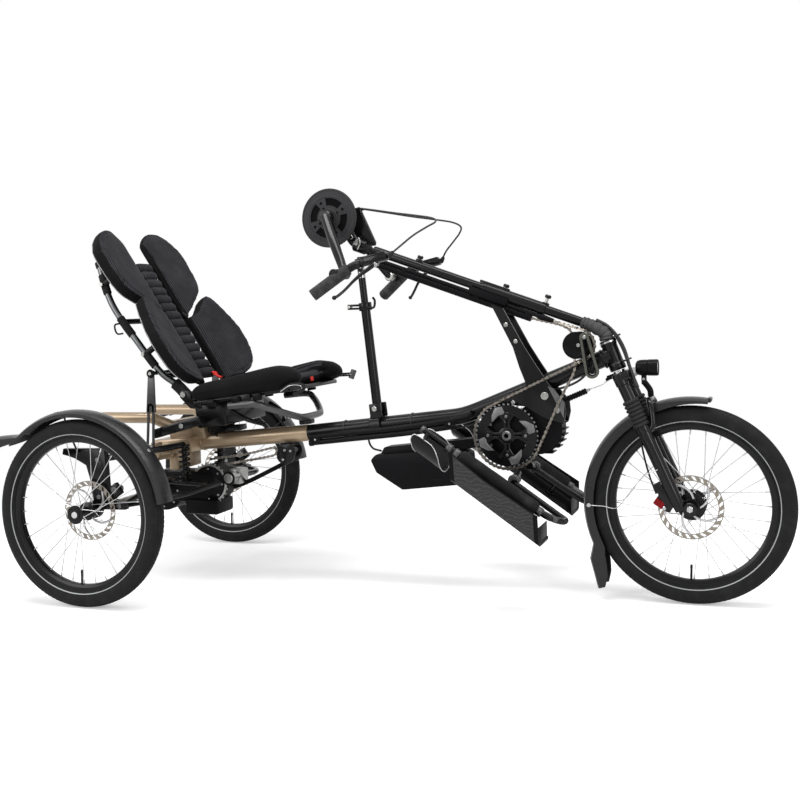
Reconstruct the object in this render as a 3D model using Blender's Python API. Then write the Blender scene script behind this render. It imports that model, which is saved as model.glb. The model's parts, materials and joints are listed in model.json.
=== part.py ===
"""A hand-cranked recumbent delta trike: two rear wheels, one steered front wheel, a fabric seat,
a long boom that carries the hand cranks, a mid motor and a battery. Metres, +Z up, +X forward.

Places are written from the point on the ground below the rear axle, and the empty named handbike
moves them all so that the origin is below the middle of the whole machine.
"""
import math

import bmesh
import bpy
from mathutils import Matrix, Vector

# Wheels
WHEELBASE = 1.536
HALF_TRACK = 0.405
WHEEL_RADIUS = 0.250
BEAD_RADIUS = 0.203
TYRE_HALF_WIDTH = 0.0235
RIM_INNER_RADIUS = 0.189
RIM_HALF_WIDTH = 0.0125
AXLE_HOLE_RADIUS = 0.0085
SPOKES = 12
DISC_RADIUS = 0.080
DISC_INNER_RADIUS = 0.066

# Main tube and head tube
BEAM_RADIUS = 0.0225
BEAM_REAR = Vector((0.486, 0, 0.4215))
BEAM_BEND = Vector((0.945, 0, 0.471))
HEAD_BOTTOM = Vector((1.361, 0, 0.591))
HEAD_TOP = Vector((1.333, 0, 0.668))
HEAD_RADIUS = 0.020

# Boom and hand cranks
BOOM_RADIUS = 0.0125
BOOM_REAR = Vector((0.690, 0, 0.9313))
BOOM_FRONT = Vector((1.268, 0, 0.7155))
CRANK_AXLE = Vector((0.588, 0, 1.020))
CRANK_LENGTH = 0.186
CRANK_LEAN = math.radians(30)
CRANK_HALF_AXLE = 0.066
CRANK_HALF_WIDTH = 0.166
GRIP_Y = 0.230
POST_FOOT = Vector((0.695, 0, 0.486))
POST_TOP = Vector((0.6568, 0, 0.895))

# Drive
MOTOR_AXLE = Vector((1.075, 0, 0.425))
MOTOR_RING_RADIUS = 0.084
IDLER = Vector((1.266, 0, 0.657))
CHAIN_ROUND_RING = 0.0885

# Seat
RECLINE_PIVOT = Vector((0.180, 0, 0.545))
BACK_FOOT = Vector((0.171, 0, 0.590))
BACK_LEAN = math.radians(32.5)
SEAT_REAR = Vector((0.209, 0, 0.525))
SEAT_TILT = math.radians(7.4)

# Fork
LEG_TOP = Vector((1.374, 0, 0.570))
LEG_FOOT = Vector((1.514, 0, 0.246))
LEG_Y = 0.062

# Mudguards
GUARD_RADIUS = 0.277
GUARD_STEPS = 18
REAR_GUARD_FIRST = math.radians(8)
REAR_GUARD_LAST = math.radians(131)
FRONT_GUARD_FIRST = math.radians(80)
FRONT_GUARD_LAST = math.radians(203)

# The whole machine's ends along X, which set its origin
TAIL_X = -0.252
NOSE_X = WHEELBASE + WHEEL_RADIUS
ORIGIN_X = (NOSE_X + TAIL_X) / 2

GAP = 0.0003
SIDES = (("right", -1), ("left", 1))
BLACK = ("black paint", (0.012, 0.012, 0.013), 0.35, 0.0)
PLASTIC = ("black plastic", (0.02, 0.02, 0.021), 0.5, 0.0)
RUBBER = ("rubber", (0.018, 0.018, 0.018), 0.8, 0.0)
FABRIC = ("mesh fabric", (0.022, 0.022, 0.024), 0.9, 0.0)
STEEL = ("bright steel", (0.55, 0.55, 0.56), 0.3, 1.0)
GOLD = ("champagne paint", (0.52, 0.40, 0.27), 0.35, 0.3)
GREY = ("grey alloy", (0.30, 0.30, 0.30), 0.4, 0.8)

for old in list(bpy.data.objects):
    bpy.data.objects.remove(old)
scene_objects = bpy.context.scene.collection.objects

handbike = bpy.data.objects.new("handbike", None)
handbike.location = (-ORIGIN_X, 0, 0)
scene_objects.link(handbike)


def material(name, colour, roughness, metallic):
    made = bpy.data.materials.new(name)
    made.use_nodes = True
    shader = made.node_tree.nodes["Principled BSDF"]
    shader.inputs["Base Color"].default_value = (*colour, 1)
    shader.inputs["Roughness"].default_value = roughness
    shader.inputs["Metallic"].default_value = metallic
    return made


def polyhedron(rings, closed=False, caps=True):
    """Joins rings of equally many points into a skin, with a flat cap on each end."""
    shape = bmesh.new()
    rows = [[shape.verts.new(point) for point in ring] for ring in rings]
    count = len(rows[0])
    pairs = list(zip(rows, rows[1:]))
    if closed:
        pairs.append((rows[-1], rows[0]))
    for near, far in pairs:
        for i in range(count):
            j = (i + 1) % count
            shape.faces.new((near[i], near[j], far[j], far[i]))
    if caps and not closed:
        shape.faces.new(rows[0][::-1])
        shape.faces.new(rows[-1])
    bmesh.ops.recalc_face_normals(shape, faces=shape.faces)
    return shape


def tube(path, radius, sides=12):
    """A round bar along a path of points; radius is one number, or one for each point."""
    path = [Vector(point) for point in path]
    radii = radius if isinstance(radius, (list, tuple)) else [radius] * len(path)
    first = (path[1] - path[0]).normalized()
    across = first.cross(Vector((0, 1, 0)))
    if across.length < 0.1:
        across = first.cross(Vector((0, 0, 1)))
    across.normalize()
    rings = []
    for i, (point, size) in enumerate(zip(path, radii)):
        before = (point - path[i - 1]).normalized() if i else None
        after = (path[i + 1] - point).normalized() if i + 1 < len(path) else None
        if before and after:
            along = (before + after).normalized()
            stretch = 1 / max(0.5, along.dot(before))
        else:
            along = before or after
            stretch = 1
        side = (across - along * across.dot(along)).normalized()
        up = along.cross(side)
        across = side
        bend = (after - before) if before and after else Vector()
        if bend.length > 1e-6:
            bend = (bend - along * bend.dot(along)).normalized()
        ring = []
        for k in range(sides):
            turn = 2 * math.pi * k / sides
            spoke = side * math.cos(turn) + up * math.sin(turn)
            spoke += bend * spoke.dot(bend) * (stretch - 1)
            ring.append(point + spoke * size)
        rings.append(ring)
    return polyhedron(rings)


def turned(profile, centre, axis=(0, 1, 0), sides=48):
    """Turns a closed outline of (radius, height) points about an axis through centre."""
    axis = Vector(axis).normalized()
    out = Vector((0, 0, -1)) if abs(axis.z) < 0.7 else Vector((1, 0, 0))
    out = (out - axis * out.dot(axis)).normalized()
    rings = []
    for k in range(sides):
        turn = 2 * math.pi * k / sides
        spoke = Matrix.Rotation(turn, 3, axis) @ out
        rings.append([Vector(centre) + spoke * r + axis * h for r, h in profile])
    return polyhedron(rings, closed=True)


def drum(centre, radius, low, high, axis=(0, 1, 0), sides=24):
    """A solid round piece between two heights on an axis through centre."""
    axis = Vector(axis).normalized()
    centre = Vector(centre)
    return tube([centre + axis * low, centre + axis * high], radius, sides)


def plate(outline, low, high):
    """A flat plate across Y, from an outline of (x, z) points."""
    return polyhedron([[Vector((x, y, z)) for x, z in outline] for y in (low, high)])


def block(centre, size, turn=0.0):
    """A box whose length leans up by turn, about Y."""
    x, y, z = (side / 2 for side in size)
    rings = [[(-x, s, -z), (x, s, -z), (x, s, z), (-x, s, z)] for s in (-y, y)]
    shape = polyhedron([[Vector(point) for point in ring] for ring in rings])
    shape.transform(Matrix.Translation(centre) @ Matrix.Rotation(-turn, 4, "Y"))
    return shape


def softened(shape, width, segments=2):
    bmesh.ops.bevel(shape, geom=shape.edges[:], offset=width, segments=segments, profile=0.6,
                    affect="EDGES", clamp_overlap=True)
    return shape


def object_of(name, shape):
    mesh = bpy.data.meshes.new(name)
    shape.to_mesh(mesh)
    shape.free()
    made = bpy.data.objects.new(name, mesh)
    scene_objects.link(made)
    return made


def joined(name, shapes, operation="UNION", solver="EXACT"):
    """One object from the first shape and the others, added to it or cut from it."""
    base, *others = [object_of(name, shape) for shape in shapes]
    for other in others:
        change = base.modifiers.new("join", "BOOLEAN")
        change.operation = operation
        change.object = other
        change.solver = solver
    bpy.context.view_layer.update()
    graph = bpy.context.evaluated_depsgraph_get()
    mesh = bpy.data.meshes.new_from_object(base.evaluated_get(graph))
    base.modifiers.clear()
    base.data = mesh
    for other in others:
        bpy.data.objects.remove(other)
    return base


def node(name, shapes, finish, pivot=(0, 0, 0), parent=None, smooth=35, cut=(), solver="EXACT"):
    """One named sub-part, with its origin on the given pivot."""
    made = joined(name, shapes, solver=solver)
    for hole in cut:
        made = joined(name, [mesh_of(made), hole], "DIFFERENCE")
    made.name = name
    made.data.name = name
    made.data.transform(Matrix.Translation(-Vector(pivot)))
    made.location = pivot
    made.data.shade_smooth()
    made.data.set_sharp_from_angle(angle=math.radians(smooth))
    made.data.materials.clear()
    made.data.materials.append(material(name, *finish[1:]))
    made.parent = parent or handbike
    return made


def mesh_of(made):
    """The shape of an object, which is then removed."""
    shape = bmesh.new()
    shape.from_mesh(made.data)
    bpy.data.objects.remove(made)
    return shape


def beam_line(x):
    """The main tube's centre height at x, behind its bend."""
    share = (x - BEAM_REAR.x) / (BEAM_BEND.x - BEAM_REAR.x)
    return BEAM_REAR.z + share * (BEAM_BEND.z - BEAM_REAR.z)


BOOM = (BOOM_FRONT - BOOM_REAR).normalized()
BOOM_DOWN = Vector((BOOM.z, 0, -BOOM.x))
HEAD = (HEAD_TOP - HEAD_BOTTOM).normalized()


def on_boom(x, drop=0.0, y=0.0):
    """A point on the boom's line at x, moved square to it by drop, and sideways by y."""
    return BOOM_REAR + BOOM * ((x - BOOM_REAR.x) / BOOM.x) + BOOM_DOWN * drop + Vector((0, y, 0))


def on_head(distance, y=0.0):
    """A point on the steering axis, this far below the head tube's lower end."""
    return HEAD_BOTTOM - HEAD * distance + Vector((0, y, 0))


# ---------------------------------------------------------------- wheels


def wheel(name, centre, hub_half, hub_radius, disc_y, shaft=()):
    """A tyre, and one piece of rim, spokes, hub, brake disc and half shaft, about a wheel centre."""
    w = TYRE_HALF_WIDTH
    tread = [(BEAD_RADIUS, -0.012), (0.218, -w), (0.236, -w), (WHEEL_RADIUS, -0.008),
             (WHEEL_RADIUS, 0.008), (0.236, w), (0.218, w), (BEAD_RADIUS, 0.012)]
    node(name + "_tyre", [turned(tread, centre, sides=40)], RUBBER, centre)
    outer = BEAD_RADIUS - GAP
    rim_section = [(outer, -RIM_HALF_WIDTH), (outer, RIM_HALF_WIDTH), (RIM_INNER_RADIUS, 0.009),
                   (RIM_INNER_RADIUS, -0.009)]
    rim = turned(rim_section, centre, sides=40)
    flange = hub_half - 0.006
    hub_section = [(AXLE_HOLE_RADIUS, -hub_half), (AXLE_HOLE_RADIUS, hub_half), (hub_radius, hub_half),
                   (hub_radius, -hub_half)]
    hub = turned(hub_section, centre, sides=16)
    spokes = []
    for k in range(SPOKES):
        lean = math.radians(4.5) + 2 * math.pi * k / SPOKES
        out = Vector((math.cos(lean), 0, math.sin(lean)))
        foot = centre + out * (hub_radius - 0.006) + Vector((0, flange if k % 2 else -flange, 0))
        spokes.append(tube([foot, centre + out * (RIM_INNER_RADIUS + 0.007)], 0.002, 4))
    at = centre + Vector((0, disc_y, 0))
    ring_section = [(DISC_INNER_RADIUS, -0.001), (DISC_INNER_RADIUS, 0.001), (DISC_RADIUS, 0.001),
                    (DISC_RADIUS, -0.001)]
    ring = turned(ring_section, at, sides=28)
    outward = -1 if disc_y < 0 else 1
    low, high = sorted((outward * (hub_half - 0.001), outward * 0.0440))
    collar = turned([(0.0120, low), (0.0120, high), (0.024, high), (0.024, low)], centre, sides=14)
    spider = [ring, collar]
    for k in range(6):
        out = Vector((math.cos(math.pi * k / 3), 0, math.sin(math.pi * k / 3)))
        arm = block((0, 0, 0), (0.048, 0.0016, 0.007))
        arm.transform(Matrix.Translation(at + out * 0.046) @ Matrix.Rotation(-math.pi * k / 3, 4, "Y"))
        spider.append(arm)
    node(name + "_wheel", [rim, hub, *spokes, *spider, *shaft], BLACK, centre)


front_centre = Vector((WHEELBASE, 0, WHEEL_RADIUS))
wheel("front", front_centre, 0.030, 0.032, -0.0385)
for side, sign in SIDES:
    centre = Vector((0, sign * HALF_TRACK, WHEEL_RADIUS))
    shaft_ends = [centre - Vector((0, sign * 0.020, 0)), (0, sign * 0.0505, WHEEL_RADIUS)]
    half_shaft = tube(shaft_ends, 0.0090, 10)
    wheel(side + "_rear", centre, 0.030, 0.020, -sign * 0.0385, [half_shaft])

# ---------------------------------------------------------------- frame

beam_front = on_head(-0.040) - Vector((0.004, 0, 0))
node("main_frame", [
    tube([BEAM_REAR, BEAM_BEND, beam_front], BEAM_RADIUS, 16),
    tube([HEAD_BOTTOM, HEAD_TOP], HEAD_RADIUS, 20),
], BLACK)

# The rear frame: a socket for the main tube, a box behind it, a cross beam and two short horns.
node("rear_frame", [
    tube([(0.4855, 0, 0.4212), (0.120, 0, 0.390)], 0.0235, 16),
    block((0.075, 0, 0.385), (0.130, 0.150, 0.044), math.radians(4)),
    block((0.100, 0, 0.425), (0.120, 0.060, 0.060), math.radians(8)),
    tube([(0.060, -0.150, 0.372), (0.060, 0.150, 0.372)], 0.021, 14),
    *[tube([(0.110, s * 0.090, 0.440), (0.040, s * 0.120, 0.474), (-0.125, s * 0.120, 0.474)], 0.016, 10)
      for _, s in SIDES],
    block((0.0935, 0, 0.4505), (0.033, 0.193, 0.025), math.radians(3)),
    block((0.075, 0, 0.345), (0.030, 0.130, 0.060)),
    *[block((0.0675, s * 0.1385, 0.3870), (0.0270, 0.0190, 0.0380), math.radians(3)) for _, s in SIDES],
    *[tube([(0.073, s * 0.1360, 0.396), (0.073, s * 0.1756, 0.396)], 0.0060, 8) for _, s in SIDES],
], GOLD)

# ---------------------------------------------------------------- boom

node("boom", [
    tube([on_boom(0.700), on_boom(1.268)], BOOM_RADIUS, 14),
    tube([on_boom(1.006), on_boom(1.176)], 0.0165, 14),
    plate([(0.645, 0.8968), (0.722, 0.8968), (0.735, 0.905), (0.735, 0.922), (0.700, 0.930),
           (0.690, 0.918), (0.672, 0.9125), (0.645, 0.9125)], 0.0055, 0.0185),
], BLACK)
node("chain_tubes", [
    tube([on_boom(0.722, 0.0205, -0.010), on_boom(1.205, 0.0205, -0.010)], 0.0055, 8),
    tube([on_boom(0.708, 0.0325, -0.006), on_boom(1.150, 0.0325, -0.006)], 0.0100, 10),
], PLASTIC)
elbow = [BOOM_FRONT + BOOM * 0.0012, BOOM_FRONT + BOOM * 0.024, HEAD_TOP + HEAD * 0.022,
         HEAD_TOP + HEAD * 0.0005]
node("boom_bellows", [tube(elbow, [0.0150, 0.0180, 0.0190, 0.0185], 14)], RUBBER)

for side, sign in SIDES:
    outline = [(1.036, 0.770), (1.070, 0.757), (1.124, 0.655), (1.184, 0.560), (1.226, 0.510),
               (1.222, 0.455), (1.170, 0.470), (1.125, 0.500), (1.060, 0.505), (1.058, 0.517),
               (1.127, 0.556), (1.093, 0.655)]
    node(side + "_boom_plate", [plate(outline, *sorted((sign * 0.0290, sign * 0.0340)))], BLACK)

# ---------------------------------------------------------------- support post

along_post = (POST_TOP - POST_FOOT).normalized()
node("post_clamp", [
    block((0.695, 0, beam_line(0.695)), (0.034, 0.0640, 0.064), math.radians(6)),
    *[block((0.697, s * 0.0215, 0.486), (0.034, 0.010, 0.044), math.radians(6)) for _, s in SIDES],
], GREY, cut=[tube([(0.60, 0, beam_line(0.60)), (0.80, 0, beam_line(0.80))], BEAM_RADIUS + GAP, 16),
              block((0.695, 0, beam_line(0.695) - 0.026), (0.060, 0.026, 0.040), math.radians(6)),
              block((0.695, -0.034, 0.4255), (0.060, 0.020, 0.050), math.radians(6))])
collar = POST_FOOT + along_post * 0.300
node("post_lower_tube", [
    tube([POST_FOOT, collar], 0.0130, 14),
    drum(collar, 0.0180, -0.022, 0.0, along_post, 16),
    block(collar + Vector((-0.026, -0.012, -0.012)), (0.040, 0.008, 0.014)),
], BLACK)
node("post_upper_tube", [tube([collar + along_post * GAP, POST_TOP], 0.0100, 14)], STEEL)

# ---------------------------------------------------------------- drive

node("motor", [
    drum(MOTOR_AXLE, 0.062, -0.036, 0.050, sides=24),
    drum((1.150, 0, 0.440), 0.074, -0.0287, 0.0287, sides=24),
], PLASTIC)
battery_side = [(0.684, 0.352), (0.700, 0.368), (0.930, 0.386), (0.960, 0.372), (0.962, 0.330),
                (0.940, 0.290), (0.775, 0.272), (0.700, 0.318)]
rail_side = [(0.705, 0.360), (0.930, 0.380), (1.020, 0.396), (1.010, 0.418), (0.930, 0.408),
             (0.720, 0.386)]
node("battery", [plate(battery_side, -0.045, 0.045), plate(rail_side, -0.027, 0.027)], PLASTIC)
node("idler", [
    drum(IDLER, 0.035, -0.040, -0.036, sides=24),
    drum(IDLER, 0.022, -0.038, -0.018, sides=16),
    drum(IDLER, 0.035, -0.020, -0.0165, sides=24),
    drum((1.283, 0, 0.6775), 0.010, -0.050, -0.018, sides=12),
    tube([(1.283, -0.046, 0.6775), (1.300, -0.046, 0.588)], 0.0075, 8),
    tube([(1.300, -0.046, 0.588), (1.300, -0.026, 0.606)], 0.0060, 8),
], STEEL)
node("rear_drive", [
    drum((0.020, 0, 0.250), 0.060, -0.050, 0.050, sides=24),
    drum((0.170, 0, 0.272), 0.055, -0.045, 0.045, sides=24),
    block((0.095, 0, 0.262), (0.150, 0.080, 0.090)),
    drum((0.245, 0, 0.292), 0.014, -0.052, 0.040, sides=12),
    block((0.150, 0, 0.205), (0.110, 0.100, 0.044)),
    block((0.240, 0.020, 0.290), (0.040, 0.050, 0.044)),
    tube([(0.180, 0.030, 0.250), (0.249, 0.030, 0.264), (0.410, 0.030, 0.338)], 0.0065, 8),
], PLASTIC)
node("chain_guide", [
    plate([(0.398, 0.3882), (0.440, 0.3920), (0.452, 0.370), (0.436, 0.338), (0.408, 0.334),
           (0.392, 0.352)], -0.030, 0.020),
], BLACK)

# ---------------------------------------------------------------- chains and their tubes

TUBE_Y = -0.0325
upper_run = [(0.500, TUBE_Y, 0.4135), (0.607, TUBE_Y, 0.4245), (0.785, TUBE_Y, 0.442),
             (0.945, TUBE_Y, 0.4665), (0.978, TUBE_Y, 0.482)]
lower_run = [(0.500, TUBE_Y, 0.3960), (0.607, TUBE_Y, 0.4075), (0.785, TUBE_Y, 0.4265),
             (0.930, TUBE_Y, 0.4470)]
node("rear_chain_tubes", [
    tube(upper_run, 0.0085, 8),
    tube(lower_run, 0.0080, 8),
    block((0.520, TUBE_Y, 0.4065), (0.030, 0.014, 0.020), math.radians(6)),
    block((0.915, TUBE_Y, 0.4535), (0.030, 0.014, 0.018), math.radians(9)),
], PLASTIC)


def around(centre, radius, first, last, steps, y):
    """Points of a chain's run round a wheel, between two angles in degrees."""
    turns = [math.radians(first + (last - first) * i / steps) for i in range(steps + 1)]
    return [(centre.x + radius * math.cos(t), y, centre.z + radius * math.sin(t)) for t in turns]


front_chain = [
    on_boom(1.2070, 0.0205, -0.010),
    *around(IDLER, 0.0402, 74, -75, 9, -0.028),
    (1.235, -0.040, 0.5993),
    *around(MOTOR_AXLE, CHAIN_ROUND_RING, 116, 335, 11, -0.046),
    (1.226, -0.040, 0.538),
    (1.247, -0.035, 0.575),
    (1.256, -0.027, 0.606),
    (1.250, -0.014, 0.620),
    (1.246, -0.0115, 0.640),
    (1.238, -0.012, 0.699),
    on_boom(1.1520, 0.0325, -0.006),
]
node("front_chain", [tube(front_chain, 0.0033, 6)], STEEL)
rear_chain = [(0.180, -0.030, 0.344), (0.225, -0.030, 0.351), (0.291, -0.030, 0.360),
              (0.346, -0.020, 0.372), (0.380, -0.014, 0.379), (0.386, -0.012, 0.369),
              (0.380, -0.014, 0.358), (0.345, -0.020, 0.350), (0.274, -0.030, 0.338),
              (0.228, -0.030, 0.330)]
node("rear_chain", [tube(rear_chain, 0.0038, 6)], STEEL)

# ---------------------------------------------------------------- rear suspension, brakes and guards

for side, sign in SIDES:
    s = sign
    node(side + "_suspension", [
        drum((0, s * 0.345, WHEEL_RADIUS), 0.024, -0.010, 0.010, sides=20),
        block((0.022, s * 0.345, 0.330), (0.050, 0.020, 0.150)),
        block((-0.020, s * 0.345, 0.402), (0.150, 0.020, 0.030)),
        block((0.060, s * 0.345, 0.262), (0.090, 0.020, 0.030)),
        block((0.070, s * 0.3530, 0.300), (0.044, 0.016, 0.034), math.radians(35)),
        tube([(0.085, s * 0.345, 0.262), (0.190, s * 0.225, 0.272), (0.225, s * 0.066, 0.282)], 0.0080, 8),
        tube([(0.085, s * 0.340, 0.262), (0.080, s * 0.150, 0.290), (0.080, s * 0.064, 0.290)], 0.0080, 8),
        tube([(0.020, s * 0.345, 0.385), (0.120, s * 0.180, 0.395), (0.130, s * 0.100, 0.395)], 0.0090, 8),
        tube([(0.133, s * 0.100, 0.285), (0.133, s * 0.100, 0.395)], 0.0170, 12),
        tube([(0.208, s * 0.100, 0.282), (0.075, s * 0.100, 0.288)], 0.0080, 8),
    ], BLACK, cut=[drum((0, s * 0.345, WHEEL_RADIUS), 0.0130, -0.03, 0.03, sides=16)])

    centre = Vector((0, s * HALF_TRACK, WHEEL_RADIUS))
    profile = [(-0.031, 0.0), (-0.022, 0.009), (0.022, 0.009), (0.031, 0.0), (0.029, -0.001),
               (0.021, 0.007), (-0.021, 0.007), (-0.029, -0.001)]
    rings = []
    for k in range(GUARD_STEPS + 1):
        turn = REAR_GUARD_FIRST + (REAR_GUARD_LAST - REAR_GUARD_FIRST) * k / GUARD_STEPS
        out = Vector((math.cos(turn), 0, math.sin(turn)))
        rings.append([centre + out * (GUARD_RADIUS - 0.009 + h) + Vector((0, y, 0)) for y, h in profile])
    kick = centre + Vector((TAIL_X, 0, 0.195))
    rings.append([kick + Vector((0, y, h)) for y, h in profile])
    node(side + "_rear_guard", [polyhedron(rings)], BLACK)

# ---------------------------------------------------------------- fork, lamp and front guard

LEG = (LEG_FOOT - LEG_TOP).normalized()


def on_leg(distance, y=0.0):
    """A point on a fork leg's line, this far down from the crown."""
    return LEG_TOP + LEG * distance + Vector((0, y, 0))


legs = []
for _, s in SIDES:
    y = s * LEG_Y
    legs.append(tube([on_leg(-0.012, y), on_leg(0.140, y)], 0.0145, 12))
    legs.append(tube([on_leg(0.1275, y), on_leg(0.353, y)], 0.0165, 14))
    legs.append(drum(front_centre + Vector((0, y, 0)), 0.0160, -0.010, 0.010, sides=14))
brake_arch = [(1.436, -0.062, 0.437), (1.451, -0.061, 0.456), (1.448, -0.052, 0.490),
              (1.440, -0.036, 0.515), (1.440, 0.036, 0.515), (1.448, 0.052, 0.490),
              (1.451, 0.061, 0.456), (1.436, 0.062, 0.437)]
node("fork", [
    block(on_head(0.019) + Vector((0.0113, 0, 0.0041)), (0.040, 0.156, 0.026), math.radians(20)),
    tube([on_head(0.0010), on_head(0.0150)], 0.0160, 16),
    *legs,
    tube(brake_arch, 0.0075, 8),
    tube([front_centre + Vector((0, -0.068, 0)), front_centre + Vector((0, 0.068, 0))], 0.0055, 12),
    block((1.478, -0.0520, 0.268), (0.048, 0.018, 0.050), math.radians(-30)),
], BLACK, on_head(0))
for side, sign in SIDES:
    node(side + "_fork_bellows", [
        turned([(0.0148, 0.0550), (0.0148, 0.1270), (0.0200, 0.1270), (0.0200, 0.0550)],
               LEG_TOP + Vector((0, sign * LEG_Y, 0)), LEG, 16),
    ], RUBBER, on_head(0))
profile = [(-0.030, 0.0), (-0.020, 0.008), (0.020, 0.008), (0.030, 0.0), (0.028, -0.001),
           (0.0195, 0.006), (-0.0195, 0.006), (-0.028, -0.001)]
rings = []
for k in range(GUARD_STEPS + 1):
    turn = FRONT_GUARD_FIRST + (FRONT_GUARD_LAST - FRONT_GUARD_FIRST) * k / GUARD_STEPS
    out = Vector((math.cos(turn), 0, math.sin(turn)))
    rings.append([front_centre + out * (0.264 + h) + Vector((0, y, 0)) for y, h in profile])
for x, z in ((1.284, 0.107), (1.303, 0.030)):
    rings.append([Vector((x - h, y * 1.2, z)) for y, h in profile])
node("front_guard", [
    polyhedron(rings),
    block((1.440, 0, 0.5030), (0.018, 0.024, 0.0080), math.radians(20)),
], BLACK, on_head(0))
node("headlight", [
    drum((1.404, 0, 0.596), 0.021, 0.0, 0.056, (1, 0, 0), 20),
    block((1.424, 0, 0.568), (0.012, 0.020, 0.030)),
    tube([(1.424, 0, 0.560), (1.438, 0, 0.540), (1.440, 0, 0.5235)], 0.0055, 8),
], PLASTIC, on_head(0))

# ---------------------------------------------------------------- crank head, cranks and handles

head_pivot = on_boom(0.690)
node("crank_head", [
    drum(on_boom(0.690), 0.020, -0.050, -0.011, BOOM, 16),
    tube([on_boom(0.660), (0.625, 0, 0.985), CRANK_AXLE], 0.017, 12),
    drum(CRANK_AXLE, 0.021, -0.030, 0.034, sides=18),
    plate([(0.590, 1.035), (0.664, 1.048), (0.706, 0.946), (0.690, 0.940), (0.640, 0.975)], -0.006, 0.006),
], BLACK, head_pivot, cut=[drum(CRANK_AXLE, 0.0090, -0.06, 0.06, sides=16)])

arm_end = CRANK_AXLE + Vector((math.sin(CRANK_LEAN), 0, -math.cos(CRANK_LEAN))) * CRANK_LENGTH
cranks = [drum(CRANK_AXLE, 0.0085, -CRANK_HALF_AXLE - 0.010, CRANK_HALF_AXLE + 0.010, sides=12)]
for _, s in SIDES:
    boss = CRANK_AXLE + Vector((0, s * CRANK_HALF_AXLE, 0))
    eye = arm_end + Vector((0, s * CRANK_HALF_WIDTH, 0))
    cranks.append(tube([boss, eye], [0.013, 0.0105], 10))
    cranks.append(drum(boss, 0.017, -0.011, 0.011, sides=14))
    cranks.append(drum(eye, 0.013, -0.010, 0.010, sides=12))
    cranks.append(tube([eye, arm_end + Vector((0, s * (GRIP_Y + 0.004), 0))], 0.0060, 8))
node("cranks", cranks, BLACK, CRANK_AXLE)
node("crank_guard", [
    turned([(0.0088, -0.004), (0.0088, 0.004), (0.081, 0.004), (0.081, -0.004)],
           CRANK_AXLE + Vector((0, -0.046, 0)), sides=36),
], PLASTIC, CRANK_AXLE)

for side, s in SIDES:
    pivot = arm_end + Vector((0, s * GRIP_Y, 0))
    node(side + "_handle", [
        tube([(0.625, s * 0.253, 0.805), (0.713, s * 0.218, 0.871)], 0.0165, 14),
        tube([(0.705, s * 0.221, 0.865), (0.730, s * 0.2165, 0.879), (0.770, s * 0.2155, 0.889)],
             0.0110, 10),
        tube([(0.756, s * 0.2155, 0.8855), (0.823, s * 0.215, 0.8995)], 0.0155, 8),
        tube([(0.790, s * 0.220, 0.884), (0.755, s * 0.236, 0.855), (0.722, s * 0.262, 0.818),
              (0.698, s * 0.286, 0.797)], 0.0048, 6),
        drum(pivot, 0.0130, -0.026, 0.012) if s > 0 else drum(pivot, 0.0130, -0.012, 0.026),
    ], RUBBER, pivot, cut=[drum(pivot, 0.0068, -0.040, 0.040, sides=10)])

ring_centre = MOTOR_AXLE + Vector((0, -0.050, 0))
ring_section = [(0.064, -0.003), (0.064, 0.003), (MOTOR_RING_RADIUS, 0.003), (MOTOR_RING_RADIUS, -0.003)]
boss_section = [(0.010, -0.006), (0.010, 0.006), (0.022, 0.006), (0.022, -0.006)]
ring_shapes = [turned(ring_section, ring_centre, sides=32), turned(boss_section, ring_centre, sides=16)]
for k in range(4):
    lean = math.radians(47 + 90 * k)
    out = Vector((math.cos(lean), 0, math.sin(lean)))
    ring_shapes.append(tube([ring_centre + out * 0.016, ring_centre + out * 0.070], 0.0050, 6))
node("motor_ring", ring_shapes, PLASTIC, MOTOR_AXLE)

# ---------------------------------------------------------------- brake hoses

HOSE_ROUTE = [(0.8262, 0.2138, 0.9020), (0.847, 0.189, 0.925), (0.876, 0.171, 0.951),
              (0.903, 0.144, 0.972), (0.917, 0.112, 0.987), (0.900, 0.090, 0.999),
              (0.852, 0.084, 1.009), (0.790, 0.072, 1.020), (0.725, 0.046, 1.033),
              (0.668, 0.0125, 1.044)]


def smooth_route(points, steps):
    """Points of a curve that runs evenly through the given ones."""
    points = [Vector(point) for point in points]
    ends = [2 * points[0] - points[1], *points, 2 * points[-1] - points[-2]]
    route = []
    for a, b, c, d in zip(ends, ends[1:], ends[2:], ends[3:]):
        for i in range(steps):
            t = i / steps
            bow = (2 * a - 5 * b + 4 * c - d) * t ** 2 + (3 * b - 3 * c + d - a) * t ** 3
            route.append(0.5 * (2 * b + (c - a) * t + bow))
    return [*route, points[-1]]


for side, sign in SIDES:
    line = bpy.data.curves.new(side + "_brake_hose", "CURVE")
    line.dimensions = "3D"
    line.bevel_depth = 0.0025
    line.bevel_resolution = 2
    line.use_fill_caps = True
    route = smooth_route([(x, sign * y, z) for x, y, z in HOSE_ROUTE], 3)
    spline = line.splines.new("POLY")
    spline.points.add(len(route) - 1)
    for point, place in zip(spline.points, route):
        point.co = (*place, 1)
    hose = bpy.data.objects.new(side + "_brake_hose", line)
    line.materials.append(material(side + "_brake_hose", *RUBBER[1:]))
    hose.parent = handbike
    scene_objects.link(hose)

# ---------------------------------------------------------------- leg supports

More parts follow.
